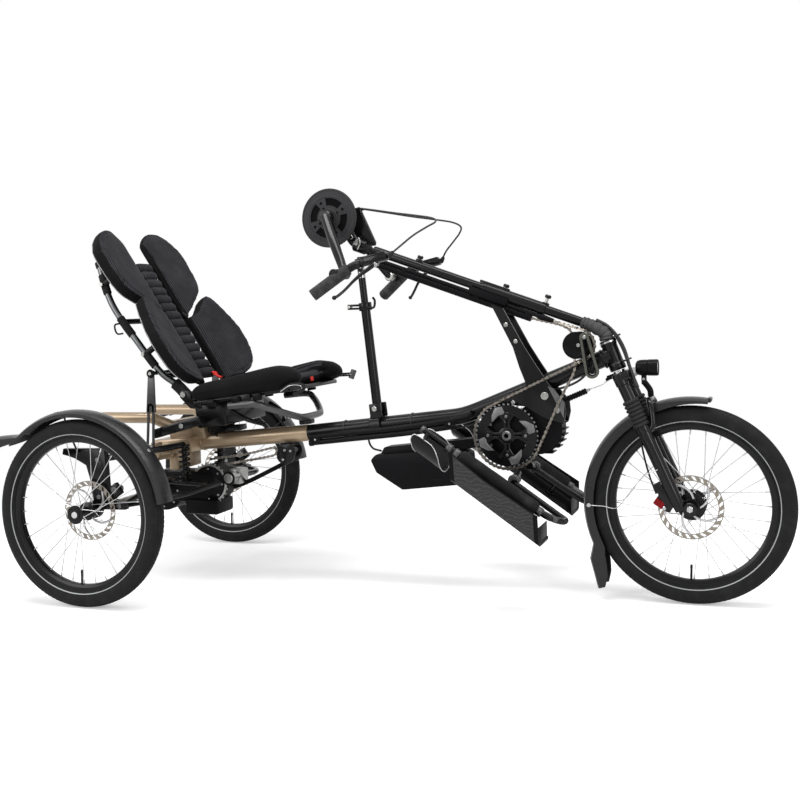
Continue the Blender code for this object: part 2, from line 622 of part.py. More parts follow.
CUP_CENTRE = (0.905, 0.165, 0.425)
CUP_RADII = (0.060, 0.055)
LEG_BAR = [(0.892, 0.190, 0.456), (1.186, 0.190, 0.257), (1.222, 0.180, 0.236), (1.240, 0.160, 0.227),
           (1.241, 0.138, 0.227), (1.222, 0.127, 0.236), (1.110, 0.120, 0.312)]
SLEEVE = [(0.990, 0.190, 0.3896), (1.182, 0.190, 0.2597)]
FLOOR_SLOPE = math.atan2(0.338 - 0.184, 1.200 - 0.982)
POST_FEET = [(1.030, 0.190, 0.3047), (1.130, 0.190, 0.2341)]

for side, sign in SIDES:
    cup = []
    for along in (-0.045, 0.045):
        x, y, z = CUP_CENTRE
        foot = Vector((x + along * 0.80, sign * y, z - along * 0.54))
        turns = [math.radians(20 * k) for k in range(-5, 6)]
        across = [(CUP_RADII[0] * math.sin(t), -CUP_RADII[1] * math.cos(t)) for t in turns]
        outer = [foot + Vector((0.0, y, z)) for y, z in across]
        inner = [foot + Vector((0.0, y * 0.93, z * 0.93)) for y, z in reversed(across)]
        cup.append(outer + inner)
    bar = [(x, sign * y, z) for x, y, z in LEG_BAR]
    sleeve = [(x, sign * y, z) for x, y, z in SLEEVE]
    posts = []
    for x, y, z in POST_FEET:
        foot = Vector((x, sign * y, z))
        lift = Vector((math.sin(FLOOR_SLOPE), 0, math.cos(FLOOR_SLOPE)))
        posts.append(tube([foot, foot + lift * 0.045], 0.0060, 8))
    node(side + "_leg_support", [
        tube(bar, 0.0080, 10),
        tube(sleeve, 0.0180, 12),
        tube([(1.110, sign * 0.125, 0.312), (1.105, sign * 0.0645, 0.330)], 0.0100, 10),
        tube([(0.905, sign * 0.188, 0.4465), (0.905, sign * 0.2228, 0.4300)], 0.0060, 8),
        *posts,
        polyhedron(cup),
    ], BLACK)
    trough = []
    for x, floor, rise in ((0.982, 0.338, 0.045), (1.200, 0.184, 0.062)):
        section = [(0.150, floor), (0.2480, floor), (0.2600, floor + rise), (0.2650, floor + rise),
                   (0.2530, floor - 0.005), (0.150, floor - 0.005)]
        trough.append([Vector((x, sign * y, z)) for y, z in section])
    node(side + "_foot_trough", [polyhedron(trough)], PLASTIC)

# ---------------------------------------------------------------- seat


def seat_place(along, across, up):
    """A point in the seat's own frame: forward from its rear, to the left, and square to the pan."""
    c, s = math.cos(SEAT_TILT), math.sin(SEAT_TILT)
    return SEAT_REAR + Vector((along * c - up * s, across, along * s + up * c))


def back_place(up, across, forward):
    """A point in the backrest's own frame: up from its foot, to the left, and square to it."""
    c, s = math.cos(BACK_LEAN), math.sin(BACK_LEAN)
    return BACK_FOOT + Vector((-up * s + forward * c, across, up * c + forward * s))


def cushion(place, outline, low, high, width=0.012):
    """A pad with soft edges, from an outline of (along, across) and two heights."""
    return softened(polyhedron([[place(a, b, h) for a, b in outline] for h in (low, high)]), width)


BOLSTER = [(0.000, 0.115), (0.000, 0.190), (0.290, 0.185), (0.325, 0.165), (0.325, 0.130), (0.290, 0.100)]
bolsters = [cushion(seat_place, [(a, s * b) for a, b in BOLSTER], 0.000, 0.055) for _, s in SIDES]
middle = cushion(seat_place, [(0.010, -0.140), (0.280, -0.140), (0.280, 0.140), (0.010, 0.140)],
                 0.001, 0.030, 0.008)
node("seat_cushion", [middle, *bolsters], FABRIC)
PAN = [(0.0, -0.17), (0.300, -0.16), (0.300, 0.16), (0.0, 0.17)]
pan = polyhedron([[seat_place(a, b, h) for a, b in PAN] for h in (-0.0123, -GAP)])
HALF_LOOP = [(0.325, 0.172, 0.5135), (0.400, 0.172, 0.5185), (0.432, 0.150, 0.5065),
             (0.464, 0.110, 0.488), (0.488, 0.070, 0.4735), (0.494, 0.045, 0.4710)]
loop = [(x, -y, z) for x, y, z in HALF_LOOP] + [(x, y, z) for x, y, z in reversed(HALF_LOOP)]
EAR = [(0.168, 0.556), (0.192, 0.556), (0.204, 0.530), (0.235, 0.520), (0.235, 0.505), (0.200, 0.505),
       (0.168, 0.536)]
node("seat_frame", [
    pan,
    tube(loop, 0.0095, 10),
    *[block((0.362, s * 0.1650, 0.5285), (0.060, 0.014, 0.030), SEAT_TILT) for _, s in SIDES],
    *[plate(EAR, *sorted((s * 0.1610, s * 0.1680))) for _, s in SIDES],
    block((0.477, 0, 0.4560), (0.036, 0.032, 0.0205), math.radians(5)),
    block((0.235, 0, 0.483), (0.100, 0.240, 0.070), math.radians(7)),
], BLACK, cut=[drum(RECLINE_PIVOT, 0.0068, -0.20, 0.20, sides=10)])
node("seat_mount", [
    block((0.220, 0, 0.4315), (0.110, 0.040, 0.0160), math.radians(5)),
    block((0.174, 0, 0.443), (0.020, 0.036, 0.034)),
    *[block((0.150, s * 0.150, 0.452), (0.160, 0.030, 0.026), math.radians(15)) for _, s in SIDES],
    tube([(0.168, -0.150, 0.456), (0.168, 0.150, 0.456)], 0.009, 8),
], BLACK)

# Each pad's outline as (up, across), and how fast its outer part comes forward.
WINGS = {
    "upper": (0.0, [(0.470, 0.050), (0.497, 0.085), (0.500, 0.120), (0.480, 0.170), (0.440, 0.205),
                    (0.400, 0.214), (0.325, 0.206), (0.290, 0.188), (0.268, 0.160), (0.244, 0.122),
                    (0.219, 0.084), (0.212, 0.052)]),
    "lower": (0.17, [(0.199, 0.055), (0.206, 0.088), (0.232, 0.129), (0.252, 0.162), (0.244, 0.186),
                     (0.205, 0.208), (0.150, 0.230), (0.090, 0.236), (0.030, 0.222), (-0.005, 0.190),
                     (-0.022, 0.140), (-0.022, 0.090), (-0.010, 0.055)]),
}
WING_BACK = -0.018
WING_FRONT = 0.022
for side, sign in SIDES:
    for level, (slope, outline) in WINGS.items():
        faces = [[back_place(a, sign * b, h + (b - 0.055) * slope) for a, b in outline]
                 for h in (WING_BACK, WING_FRONT)]
        node(f"{side}_{level}_back_pad", [softened(polyhedron(faces), 0.010)], FABRIC, RECLINE_PIVOT)
spine_outline = [(0.0, -0.038), (0.400, -0.038), (0.400, 0.038), (0.0, 0.038)]
node("spine_pad", [cushion(back_place, spine_outline, -0.020, 0.002, 0.005)], FABRIC, RECLINE_PIVOT)

SIDE_TUBE_LINE = [(-0.060, 0.148, -0.016), (-0.004, 0.150, -0.029), (0.052, 0.158, -0.048),
                  (0.152, 0.160, -0.060),
                  (0.297, 0.160, -0.070), (0.427, 0.150, -0.044)]  # up, across, forward
CROSS_BARS = [(0.035, 0.156, -0.043), (0.235, 0.160, -0.066), (0.405, 0.152, -0.048)]  # up, across, forward
WING_ARMS = [(0.120, -0.0030), (0.360, -0.0185)]  # up, and where its front end stands
frame_shapes = [cushion(back_place, [(0.010, -0.034), (0.410, -0.034), (0.410, 0.034), (0.010, 0.034)],
                        -0.034, -0.0205, 0.003)]
for _, s in SIDES:
    side_tube = [back_place(up, s * across, forward) for up, across, forward in SIDE_TUBE_LINE]
    frame_shapes.append(tube(side_tube, 0.0095, 8))
    for up, front in WING_ARMS:
        arm = [back_place(up, s * 0.160, -0.060), back_place(up, s * 0.160, front)]
        frame_shapes.append(tube(arm, 0.0090, 8))
for up, across, forward in CROSS_BARS:
    bar = [back_place(up, -across, forward), back_place(up, across, forward)]
    frame_shapes.append(tube(bar, 0.0080, 8))
    stud = [back_place(up, 0, forward), back_place(up, 0, -0.028)]
    frame_shapes.append(tube(stud, 0.0100, 8))
frame_shapes.append(drum(RECLINE_PIVOT, 0.0060, -0.172, 0.172, sides=10))
node("back_frame", frame_shapes, BLACK, RECLINE_PIVOT)
STRIP = [(0.076, 0.615), (0.094, 0.615), (0.084, 0.386), (0.062, 0.386)]
node("recline_bars", [
    *[plate(STRIP, *sorted((s * 0.176, s * 0.181))) for _, s in SIDES],
    tube([(0.085, -0.180, 0.605), (0.085, 0.180, 0.605)], 0.0056, 8),
], BLACK, (0.085, 0, 0.605))
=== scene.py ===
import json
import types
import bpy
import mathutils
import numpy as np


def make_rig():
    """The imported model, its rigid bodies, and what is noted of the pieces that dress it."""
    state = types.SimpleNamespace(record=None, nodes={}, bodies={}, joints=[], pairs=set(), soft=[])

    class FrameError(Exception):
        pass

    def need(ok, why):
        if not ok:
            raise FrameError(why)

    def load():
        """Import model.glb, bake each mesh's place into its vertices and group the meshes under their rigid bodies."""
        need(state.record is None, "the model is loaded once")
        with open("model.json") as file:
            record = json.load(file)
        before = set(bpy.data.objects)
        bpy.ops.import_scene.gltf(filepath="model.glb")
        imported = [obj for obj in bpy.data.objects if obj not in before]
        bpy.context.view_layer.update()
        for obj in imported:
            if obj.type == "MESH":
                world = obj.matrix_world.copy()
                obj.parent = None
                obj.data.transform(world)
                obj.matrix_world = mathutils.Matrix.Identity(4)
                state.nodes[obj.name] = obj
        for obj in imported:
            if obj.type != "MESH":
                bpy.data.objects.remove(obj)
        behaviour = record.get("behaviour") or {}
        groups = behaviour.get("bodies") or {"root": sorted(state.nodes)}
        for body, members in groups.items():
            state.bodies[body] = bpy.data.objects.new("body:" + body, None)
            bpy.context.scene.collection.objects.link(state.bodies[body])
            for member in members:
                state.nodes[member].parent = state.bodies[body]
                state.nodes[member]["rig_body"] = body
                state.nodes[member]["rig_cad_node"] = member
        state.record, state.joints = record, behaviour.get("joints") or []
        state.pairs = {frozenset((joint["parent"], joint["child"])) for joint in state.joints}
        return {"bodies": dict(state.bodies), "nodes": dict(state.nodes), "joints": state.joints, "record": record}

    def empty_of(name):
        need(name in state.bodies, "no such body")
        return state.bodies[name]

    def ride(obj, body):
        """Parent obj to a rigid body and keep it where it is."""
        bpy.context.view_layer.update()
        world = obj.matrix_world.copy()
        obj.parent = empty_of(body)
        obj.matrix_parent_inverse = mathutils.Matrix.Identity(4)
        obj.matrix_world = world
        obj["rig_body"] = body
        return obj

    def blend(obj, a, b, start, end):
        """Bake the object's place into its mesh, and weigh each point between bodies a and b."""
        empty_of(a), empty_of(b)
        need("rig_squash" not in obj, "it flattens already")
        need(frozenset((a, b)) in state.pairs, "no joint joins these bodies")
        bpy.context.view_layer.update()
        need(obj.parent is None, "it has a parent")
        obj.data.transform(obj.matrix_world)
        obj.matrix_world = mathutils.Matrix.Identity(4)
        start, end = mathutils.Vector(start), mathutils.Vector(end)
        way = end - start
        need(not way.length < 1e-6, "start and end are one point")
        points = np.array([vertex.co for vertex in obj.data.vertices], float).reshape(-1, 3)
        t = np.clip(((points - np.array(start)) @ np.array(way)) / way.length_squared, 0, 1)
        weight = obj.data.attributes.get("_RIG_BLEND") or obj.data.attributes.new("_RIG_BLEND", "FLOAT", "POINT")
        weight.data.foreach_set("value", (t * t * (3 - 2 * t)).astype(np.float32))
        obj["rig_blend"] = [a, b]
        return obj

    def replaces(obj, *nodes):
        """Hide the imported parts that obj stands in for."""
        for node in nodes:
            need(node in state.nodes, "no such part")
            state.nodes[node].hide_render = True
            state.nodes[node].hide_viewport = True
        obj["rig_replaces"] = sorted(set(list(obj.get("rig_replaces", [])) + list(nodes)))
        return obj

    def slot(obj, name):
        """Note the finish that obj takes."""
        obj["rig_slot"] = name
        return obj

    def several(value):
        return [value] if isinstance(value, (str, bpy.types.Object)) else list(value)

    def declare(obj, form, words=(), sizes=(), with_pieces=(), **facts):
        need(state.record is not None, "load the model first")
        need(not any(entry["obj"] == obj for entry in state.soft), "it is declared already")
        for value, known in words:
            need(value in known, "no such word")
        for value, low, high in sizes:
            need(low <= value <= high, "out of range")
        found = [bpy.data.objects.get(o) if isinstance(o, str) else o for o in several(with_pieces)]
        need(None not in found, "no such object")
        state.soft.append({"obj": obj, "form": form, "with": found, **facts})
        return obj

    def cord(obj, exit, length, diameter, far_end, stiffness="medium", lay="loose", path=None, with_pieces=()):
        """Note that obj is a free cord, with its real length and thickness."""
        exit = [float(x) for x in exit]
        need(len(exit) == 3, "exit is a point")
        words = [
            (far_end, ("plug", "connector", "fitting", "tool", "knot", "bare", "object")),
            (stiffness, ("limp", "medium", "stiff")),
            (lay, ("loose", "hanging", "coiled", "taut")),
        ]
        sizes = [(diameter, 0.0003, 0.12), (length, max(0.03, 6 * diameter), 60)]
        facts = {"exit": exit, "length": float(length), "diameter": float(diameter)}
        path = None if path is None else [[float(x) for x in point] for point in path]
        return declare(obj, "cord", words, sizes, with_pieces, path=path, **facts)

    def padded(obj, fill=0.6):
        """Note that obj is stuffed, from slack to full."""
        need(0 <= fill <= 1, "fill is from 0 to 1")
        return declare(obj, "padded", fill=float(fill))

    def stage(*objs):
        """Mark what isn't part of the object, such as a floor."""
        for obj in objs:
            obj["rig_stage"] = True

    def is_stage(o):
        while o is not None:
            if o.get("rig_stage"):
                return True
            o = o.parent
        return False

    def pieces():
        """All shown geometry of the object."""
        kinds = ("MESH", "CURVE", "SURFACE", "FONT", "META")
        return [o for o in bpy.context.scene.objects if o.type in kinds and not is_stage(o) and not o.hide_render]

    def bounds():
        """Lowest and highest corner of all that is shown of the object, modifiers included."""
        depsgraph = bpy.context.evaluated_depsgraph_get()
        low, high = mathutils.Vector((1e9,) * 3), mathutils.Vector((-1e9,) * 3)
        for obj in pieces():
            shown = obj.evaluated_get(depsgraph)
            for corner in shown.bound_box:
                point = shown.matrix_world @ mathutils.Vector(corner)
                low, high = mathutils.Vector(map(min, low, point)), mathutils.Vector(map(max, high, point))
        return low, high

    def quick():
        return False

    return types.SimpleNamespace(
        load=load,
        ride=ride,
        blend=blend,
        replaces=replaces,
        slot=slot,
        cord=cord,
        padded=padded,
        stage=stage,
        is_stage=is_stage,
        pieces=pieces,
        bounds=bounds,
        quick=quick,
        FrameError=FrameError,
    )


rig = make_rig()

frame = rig.load()
import json
from math import atan2, copysign, cos, hypot, pi, radians, sin, sqrt

import bmesh
import bpy
import numpy as np
from mathutils import Matrix, Vector
from mathutils.bvhtree import BVHTree

cad_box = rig.bounds()

# -------------------- rear frame
# The weldment behind the seat: a round socket that takes the main tube, a box with gussets behind
# it, a cross beam and two short tubes that carry bags or a tow bar. Steel, TIG welded, then
# powder-coated in a satin champagne gold.

pivots = {joint["name"]: Vector(joint["pos_m"]) for joint in frame["joints"]}
REAR_AXLE_X = pivots["right_rear_wheel_spin"].x
SIDES = (("right", -1), ("left", 1))


def at(x, y, z):
    """A place measured from the ground under the rear axle: forward, to the left, and up."""
    return Vector((REAR_AXLE_X + x, y, z))


def left(y):
    """A step to the left."""
    return Vector((0, y, 0))


class Field:
    """A value that varies over a surface; sums and products of fields add their Math nodes."""

    def __init__(self, socket):
        self.socket = socket

    def node(self, kind, settings=None, sockets=None, output=0):
        """Any other node: first its settings, then the values or links of its sockets."""
        made = self.socket.id_data.nodes.new("ShaderNode" + kind)
        for name, value in (settings or {}).items():
            setattr(made, name, value)
        for name, value in (sockets or {}).items():
            if isinstance(value, Field):
                self.socket.id_data.links.new(value.socket, made.inputs[name])
            else:
                made.inputs[name].default_value = value
        return Field(made.outputs[output])

    def maths(self, operation, first, second=0.0, third=0.0):
        return self.node("Math", {"operation": operation}, {0: first, 1: second, 2: third})

    def __add__(self, other):
        return self.maths("ADD", self, other)

    def __sub__(self, other):
        return self.maths("SUBTRACT", self, other)

    def __rsub__(self, other):
        return self.maths("SUBTRACT", other, self)

    def __mul__(self, other):
        return self.maths("MULTIPLY", self, other)

    __radd__ = __add__
    __rmul__ = __mul__

    def step(self, low, high):
        """0 below low, 1 above high, and a smooth rise between them."""
        return self.node("MapRange", {"interpolation_type": "SMOOTHSTEP"},
                         {"Value": self, "From Min": low, "From Max": high})

    def noise(self, scale, detail=2.0):
        return self.node("TexNoise", None, {"Vector": self, "Scale": scale, "Detail": detail})

    def cells(self, scale, randomness=1.0):
        return self.node("TexVoronoi", None,
                         {"Vector": self, "Scale": scale, "Randomness": randomness})

    def blend(self, low, high):
        """A colour between two, by this field."""
        return self.node("Mix", {"data_type": "RGBA"},
                         {"Factor": self, "A": (*low, 1), "B": (*high, 1)}, output=2)


def finish(name, colour, roughness, metallic=0.0, shine=0.5, **plain):
    """A material, its shader, and the place on the piece as a field."""
    made = bpy.data.materials.new(name)
    made.use_nodes = True
    shader = made.node_tree.nodes["Principled BSDF"]
    plain.update({"Base Color": (*colour, 1), "Roughness": roughness, "Metallic": metallic,
                  "Specular IOR Level": shine})
    for socket, value in plain.items():
        shader.inputs[socket].default_value = value
    return made, shader, Field(made.node_tree.nodes.new("ShaderNodeTexCoord").outputs["Object"])


def feed(shader, socket, field):
    shader.id_data.links.new(field.socket, shader.inputs[socket])


def relief(shader, height, depth, strength=1.0):
    """Raises the surface by a height field of this depth in metres."""
    feed(shader, "Normal", height.node("Bump", None, {"Height": height, "Distance": depth,
                                                      "Strength": strength}))


def painted(name, dark, light, roughness, metallic, coat):
    """Sprayed paint: a slight cloudiness of colour, orange peel, and uneven gloss."""
    made, shader, place = finish(name, light, roughness, metallic, 0.5 if metallic else 0.16,
                                 **{"Coat Weight": coat, "Coat Roughness": 0.12})
    cloud = place.noise(9.0, 3.0)
    feed(shader, "Base Color", cloud.step(0.3, 0.7).blend(dark, light))
    feed(shader, "Roughness", cloud * 0.1 + (roughness - 0.05) + place.noise(160.0) * 0.04)
    relief(shader, place.noise(420.0), 0.00012)
    return made


def full_turn(count):
    """This many equal steps of angle round one turn."""
    return [2 * pi * k / count for k in range(count)]


def skin(shape, rings, part=0, closed=False, caps=True):
    """Joins rings of equally many points; part is the number of the finish its faces take."""
    rows = [[shape.verts.new(point) for point in ring] for ring in rings]
    count = len(rows[0])
    pairs = list(zip(rows, rows[1:]))
    if closed:
        pairs.append((rows[-1], rows[0]))
    faces = [shape.faces.new((near[i], near[(i + 1) % count], far[(i + 1) % count], far[i]))
             for near, far in pairs for i in range(count)]
    if caps and not closed:
        faces.append(shape.faces.new(rows[0][::-1]))
        faces.append(shape.faces.new(rows[-1]))
    for face in faces:
        face.material_index = part
        face.smooth = True
    return faces


def pipe(shape, path, radius, sides=16, part=0, flat=1.0):
    """A bar along a path; radius is one number or one for each point, flat squeezes its height."""
    path = [Vector(point) for point in path]
    radii = radius if isinstance(radius, (list, tuple)) else [radius] * len(path)
    across = (path[1] - path[0]).normalized().cross(left(1))
    if across.length < 0.2:
        across = Vector((1, 0, 0))
    rings = []
    for i, (point, size) in enumerate(zip(path, radii)):
        before = (path[i] - path[i - 1]).normalized() if i else None
        after = (path[i + 1] - point).normalized() if i + 1 < len(path) else None
        along = ((before or after) + (after or before)).normalized()
        side = (across - along * across.dot(along)).normalized()
        up = along.cross(side)
        across = side
        rings.append([point + (side * cos(t) * flat + up * sin(t)) * size
                      for t in full_turn(sides)])
    return skin(shape, rings, part)


def softened(shape, faces, width, rounds=2):
    """Rounds every edge of these faces."""
    edges = list(dict.fromkeys(edge for face in faces for edge in face.edges))
    part = faces[0].material_index
    made = bmesh.ops.bevel(shape, geom=edges, offset=width, segments=rounds, profile=0.5,
                           affect="EDGES", clamp_overlap=True)
    for face in made["faces"]:
        face.material_index = part
        face.smooth = True


def brick(shape, centre, size, turn=0.0, soft=0.002, part=0, yaw=0.0):
    """A box whose length leans up by turn about Y, and round by yaw about Z."""
    x, y, z = (side / 2 for side in size)
    lean = Matrix.Rotation(yaw, 3, "Z") @ Matrix.Rotation(-turn, 3, "Y")
    corners = [[(-x, s, -z), (x, s, -z), (x, s, z), (-x, s, z)] for s in (-y, y)]
    rings = [[Vector(centre) + lean @ Vector(corner) for corner in ring] for ring in corners]
    softened(shape, skin(shape, rings, part), soft)


def solid(name, shape, finishes=()):
    """Puts the shape in the scene as an object with these finishes."""
    bmesh.ops.recalc_face_normals(shape, faces=shape.faces)
    mesh = bpy.data.meshes.new(name)
    shape.to_mesh(mesh)
    shape.free()
    for each in finishes:
        mesh.materials.append(each)
    made = bpy.data.objects.new(name, mesh)
    bpy.context.scene.collection.objects.link(made)
    return made


def piece(name, shape, finishes, body, slot, stands_for=(), sharp=40):
    """Makes a stiff piece, and says which body it rides, its slot and the solids it stands for."""
    made = solid(name, shape, finishes)
    made.data.set_sharp_from_angle(angle=radians(sharp))
    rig.ride(made, body)
    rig.slot(made, slot)
    if stands_for:
        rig.replaces(made, *stands_for)
    return made


def weld(shape, centre, radius, axis, part=0):
    """A bead of weld round a tube."""
    axis = Vector(axis).normalized()
    out = axis.cross(left(1)) if abs(axis.y) < 0.8 else Vector((1, 0, 0))
    ring = [Vector(centre) + Matrix.Rotation(2 * pi * k / 48, 3, axis) @ out.normalized()
            * (radius + 0.0007 * (k % 2)) for k in range(49)]
    pipe(shape, ring, 0.0024, 8, part)


gold_paint = painted("champagne paint", (0.31, 0.225, 0.142), (0.4, 0.295, 0.19), 0.28, 0.45, 0.3)
SOCKET_FRONT = at(0.4855, 0, 0.4212)
SOCKET_REAR = at(0.12, 0, 0.39)
socket_line = (SOCKET_FRONT - SOCKET_REAR).normalized()
shape = bmesh.new()
pipe(shape, [SOCKET_REAR, SOCKET_FRONT - socket_line * 0.004, SOCKET_FRONT],
     [0.0235, 0.0235, 0.0228], 40)
brick(shape, at(0.075, 0, 0.385), (0.13, 0.15, 0.044), radians(4), 0.006)
brick(shape, at(0.1, 0, 0.425), (0.12, 0.06, 0.06), radians(8), 0.004)
pipe(shape, [at(0.06, -0.15, 0.372), at(0.06, 0.15, 0.372)], 0.021, 32)
brick(shape, at(0.0935, 0, 0.4505), (0.033, 0.193, 0.025), radians(3), 0.003)
brick(shape, at(0.075, 0, 0.345), (0.03, 0.13, 0.06), 0.0, 0.003)
weld(shape, at(0.142, 0, 0.3925), 0.0242, socket_line)
for _, s in SIDES:
    horn = [at(0.11, s * 0.09, 0.44), at(0.052, s * 0.117, 0.47), at(0.04, s * 0.12, 0.474),
            at(-0.124, s * 0.12, 0.474)]
    pipe(shape, horn, 0.016, 32)
    brick(shape, at(0.0675, s * 0.1385, 0.387), (0.027, 0.019, 0.038), radians(3))
    pipe(shape, [at(0.073, s * 0.136, 0.396), at(0.073, s * 0.175, 0.396)], 0.006, 20)
    weld(shape, at(0.06, s * 0.076, 0.372), 0.0215, (0, 1, 0))
piece("rear_frame_weldment", shape, [gold_paint], "frame", "gold_paint", ["rear_frame"])

# -------------------- main tube
# One bent steel tube from the socket to the head tube, welded to it and powder-coated satin black.
# The headset's cups are pressed into the head tube's two ends.


def square_to(axis):
    """A direction square to an axis: down, or forward where the axis is upright."""
    out = Vector((0, 0, -1)) if abs(axis.z) < 0.7 else Vector((1, 0, 0))
    return (out - axis * out.dot(axis)).normalized()


def turning(shape, outline, centre, axis=(0, 1, 0), sides=48, part=0):
    """Turns a closed outline of (radius, height) points about an axis through centre."""
    axis = Vector(axis).normalized()
    out = square_to(axis)
    rings = []
    for turn in full_turn(sides):
        away = Matrix.Rotation(turn, 3, axis) @ out
        rings.append([Vector(centre) + away * r + axis * h for r, h in outline])
    return skin(shape, rings, part, closed=True)


black_paint = painted("black paint", (0.003, 0.003, 0.0034), (0.006, 0.006, 0.0064), 0.22, 0.0, 0.1)
head = (at(1.333, 0, 0.668) - at(1.361, 0, 0.591)).normalized()
head_low = at(1.361, 0, 0.591)
shape = bmesh.new()
beam = [at(0.486, 0, 0.4215), at(0.905, 0, 0.4667), at(0.925, 0, 0.469), at(0.945, 0, 0.473),
        at(0.965, 0, 0.479), at(0.985, 0, 0.4862), head_low + head * 0.04 - Vector((0.004, 0, 0))]
pipe(shape, beam, 0.0225, 40)
turning(shape, [(0.012, 0.0), (0.012, 0.082), (0.02, 0.082), (0.0215, 0.078), (0.0215, 0.07),
                (0.02, 0.066), (0.02, 0.016), (0.0215, 0.012), (0.0215, 0.004), (0.02, 0.0)],
        head_low, head, 48)
weld(shape, head_low + head * 0.04 - Vector((0.024, 0, 0.0095)), 0.0232, (beam[-1] - beam[-2]))
piece("main_tube", shape, [black_paint], "frame", "black_paint", ["main_frame"])

# -------------------- wheels
# Three like wheels: a treaded tyre with a thin reflective line on each side, a black double-wall
# rim, 32 steel spokes laced in threes from nipples in the rim, an alloy hub, and a cut steel disc.


def curved(points, steps=6):
    """Points of a smooth curve through the given ones."""
    points = [Vector(point) for point in points]
    ends = [2 * points[0] - points[1], *points, 2 * points[-1] - points[-2]]
    line = []
    for a, b, c, d in zip(ends, ends[1:], ends[2:], ends[3:]):
        for i in range(steps):
            t = i / steps
            bow = (2 * a - 5 * b + 4 * c - d) * t ** 2 + (3 * b - 3 * c + d - a) * t ** 3
            line.append(0.5 * (2 * b + (c - a) * t + bow))
    return [*line, points[-1]]


def cap(shape, centre, radius, low, high, axis=(0, 1, 0), sides=32, part=0, soft=0.001):
    """A solid round piece with soft rims, between two heights on an axis through centre."""
    axis = Vector(axis).normalized()
    middle = Vector(centre)
    path = [middle + axis * h for h in (low, low, low + soft, high - soft, high, high)]
    sizes = [radius - soft * 2, radius - soft, radius, radius, radius - soft, radius - soft * 2]
    out = square_to(axis)
    rings = []
    for point, size in zip(path, sizes):
        rings.append([point + Matrix.Rotation(turn, 3, axis) @ out * size
                      for turn in full_turn(sides)])
    return skin(shape, rings, part)


def spoke(turn):
    """The direction out from a wheel's axle, this far round."""
    return Vector((cos(turn), 0, sin(turn)))


def mirrored(half, *middle):
    """A round piece's outline from its left half."""
    return [*half, *middle, *((radius, -y) for radius, y in reversed(half))]


def bright(name, colour, roughness, scratch=90.0):
    """Turned or drawn metal with faint drawing lines and handling marks."""
    made, shader, place = finish(name, colour, roughness, 1.0)
    marks = place.noise(scratch, 6.0)
    feed(shader, "Roughness", roughness - 0.08 + marks * 0.2)
    feed(shader, "Base Color", marks.step(0.25, 0.8).blend(tuple(c * 0.82 for c in colour), colour))
    relief(shader, place.noise(700.0), 0.00005)
    return made


tyre_rubber, shader, place = finish("tyre rubber", (0.012, 0.012, 0.012), 0.72, shine=0.16)
dust = place.noise(34.0, 4.0).step(0.42, 0.78)
feed(shader, "Base Color", dust.blend((0.0065, 0.0065, 0.0065), (0.017, 0.017, 0.017)))
feed(shader, "Roughness", 0.62 + dust * 0.22)
relief(shader, place.noise(900.0, 3.0), 0.00025)
stripe_film, shader, place = finish("reflective film", (0.55, 0.56, 0.57), 0.4, 0.2)
beads = place.cells(2600.0)
feed(shader, "Base Color", beads.step(0.1, 0.7).blend((0.42, 0.43, 0.44), (0.26, 0.27, 0.28)))
relief(shader, beads, 0.0001)
steel = bright("steel", (0.62, 0.62, 0.63), 0.28)
dark_steel = bright("dark steel", (0.2, 0.2, 0.205), 0.34)
# Radius and half width up the tyre's side, from bead to shoulder; the stripe lies between two.
TYRE_SIDE = [(0.203, 0.0105), (0.2045, 0.0145), (0.2085, 0.0182), (0.2105, 0.0195), (0.2128, 0.0207),
             (0.218, 0.0226), (0.225, 0.0235), (0.232, 0.0232), (0.2375, 0.0218), (0.2412, 0.02)]
STRIPE_BAND = 3
TREAD = [(0.02, 0.2412), (0.0186, 0.2436), (0.015, 0.2466), (0.0142, 0.2452), (0.0128, 0.246),
         (0.012, 0.2478), (0.0066, 0.2496), (0.0058, 0.248), (0.0044, 0.2484), (0.0036, 0.25)]
SIPES = 480
SPOKES = 32
SPOKE_END = 0.1895
SPOKE_LEAD = 47
DISC_Y = 0.0385


def tyre(name, centre, body, stands_for):
    shape = bmesh.new()
    half = TYRE_SIDE + [(r, h) for h, r in TREAD[1:]]
    outline = mirrored(half)
    shoulder = len(TYRE_SIDE)
    rings = []
    for k, turn in enumerate(full_turn(SIPES)):
        ring = []
        for i, (r, h) in enumerate(outline):
            j = min(i, len(outline) - 1 - i)
            lag = abs(h) * 1.6 if j >= shoulder else 0.0
            block = (k + int(lag / 0.0033)) % 4
            if shoulder <= j < len(half) - 1 and r > 0.244 and block == 0:
                r -= 0.0016
            ring.append(centre + spoke(turn) * r + left(h))
        rings.append(ring)
    skin(shape, rings, closed=True)
    for face in shape.faces:
        middle = face.calc_center_median() - centre
        radius = hypot(middle.x, middle.z)
        low, high = TYRE_SIDE[STRIPE_BAND][0], TYRE_SIDE[STRIPE_BAND + 1][0]
        face.material_index = 1 if low < radius < high and abs(middle.y) > 0.018 else 0
    piece(name, shape, [tyre_rubber, stripe_film], body, "tyre", stands_for, 32)


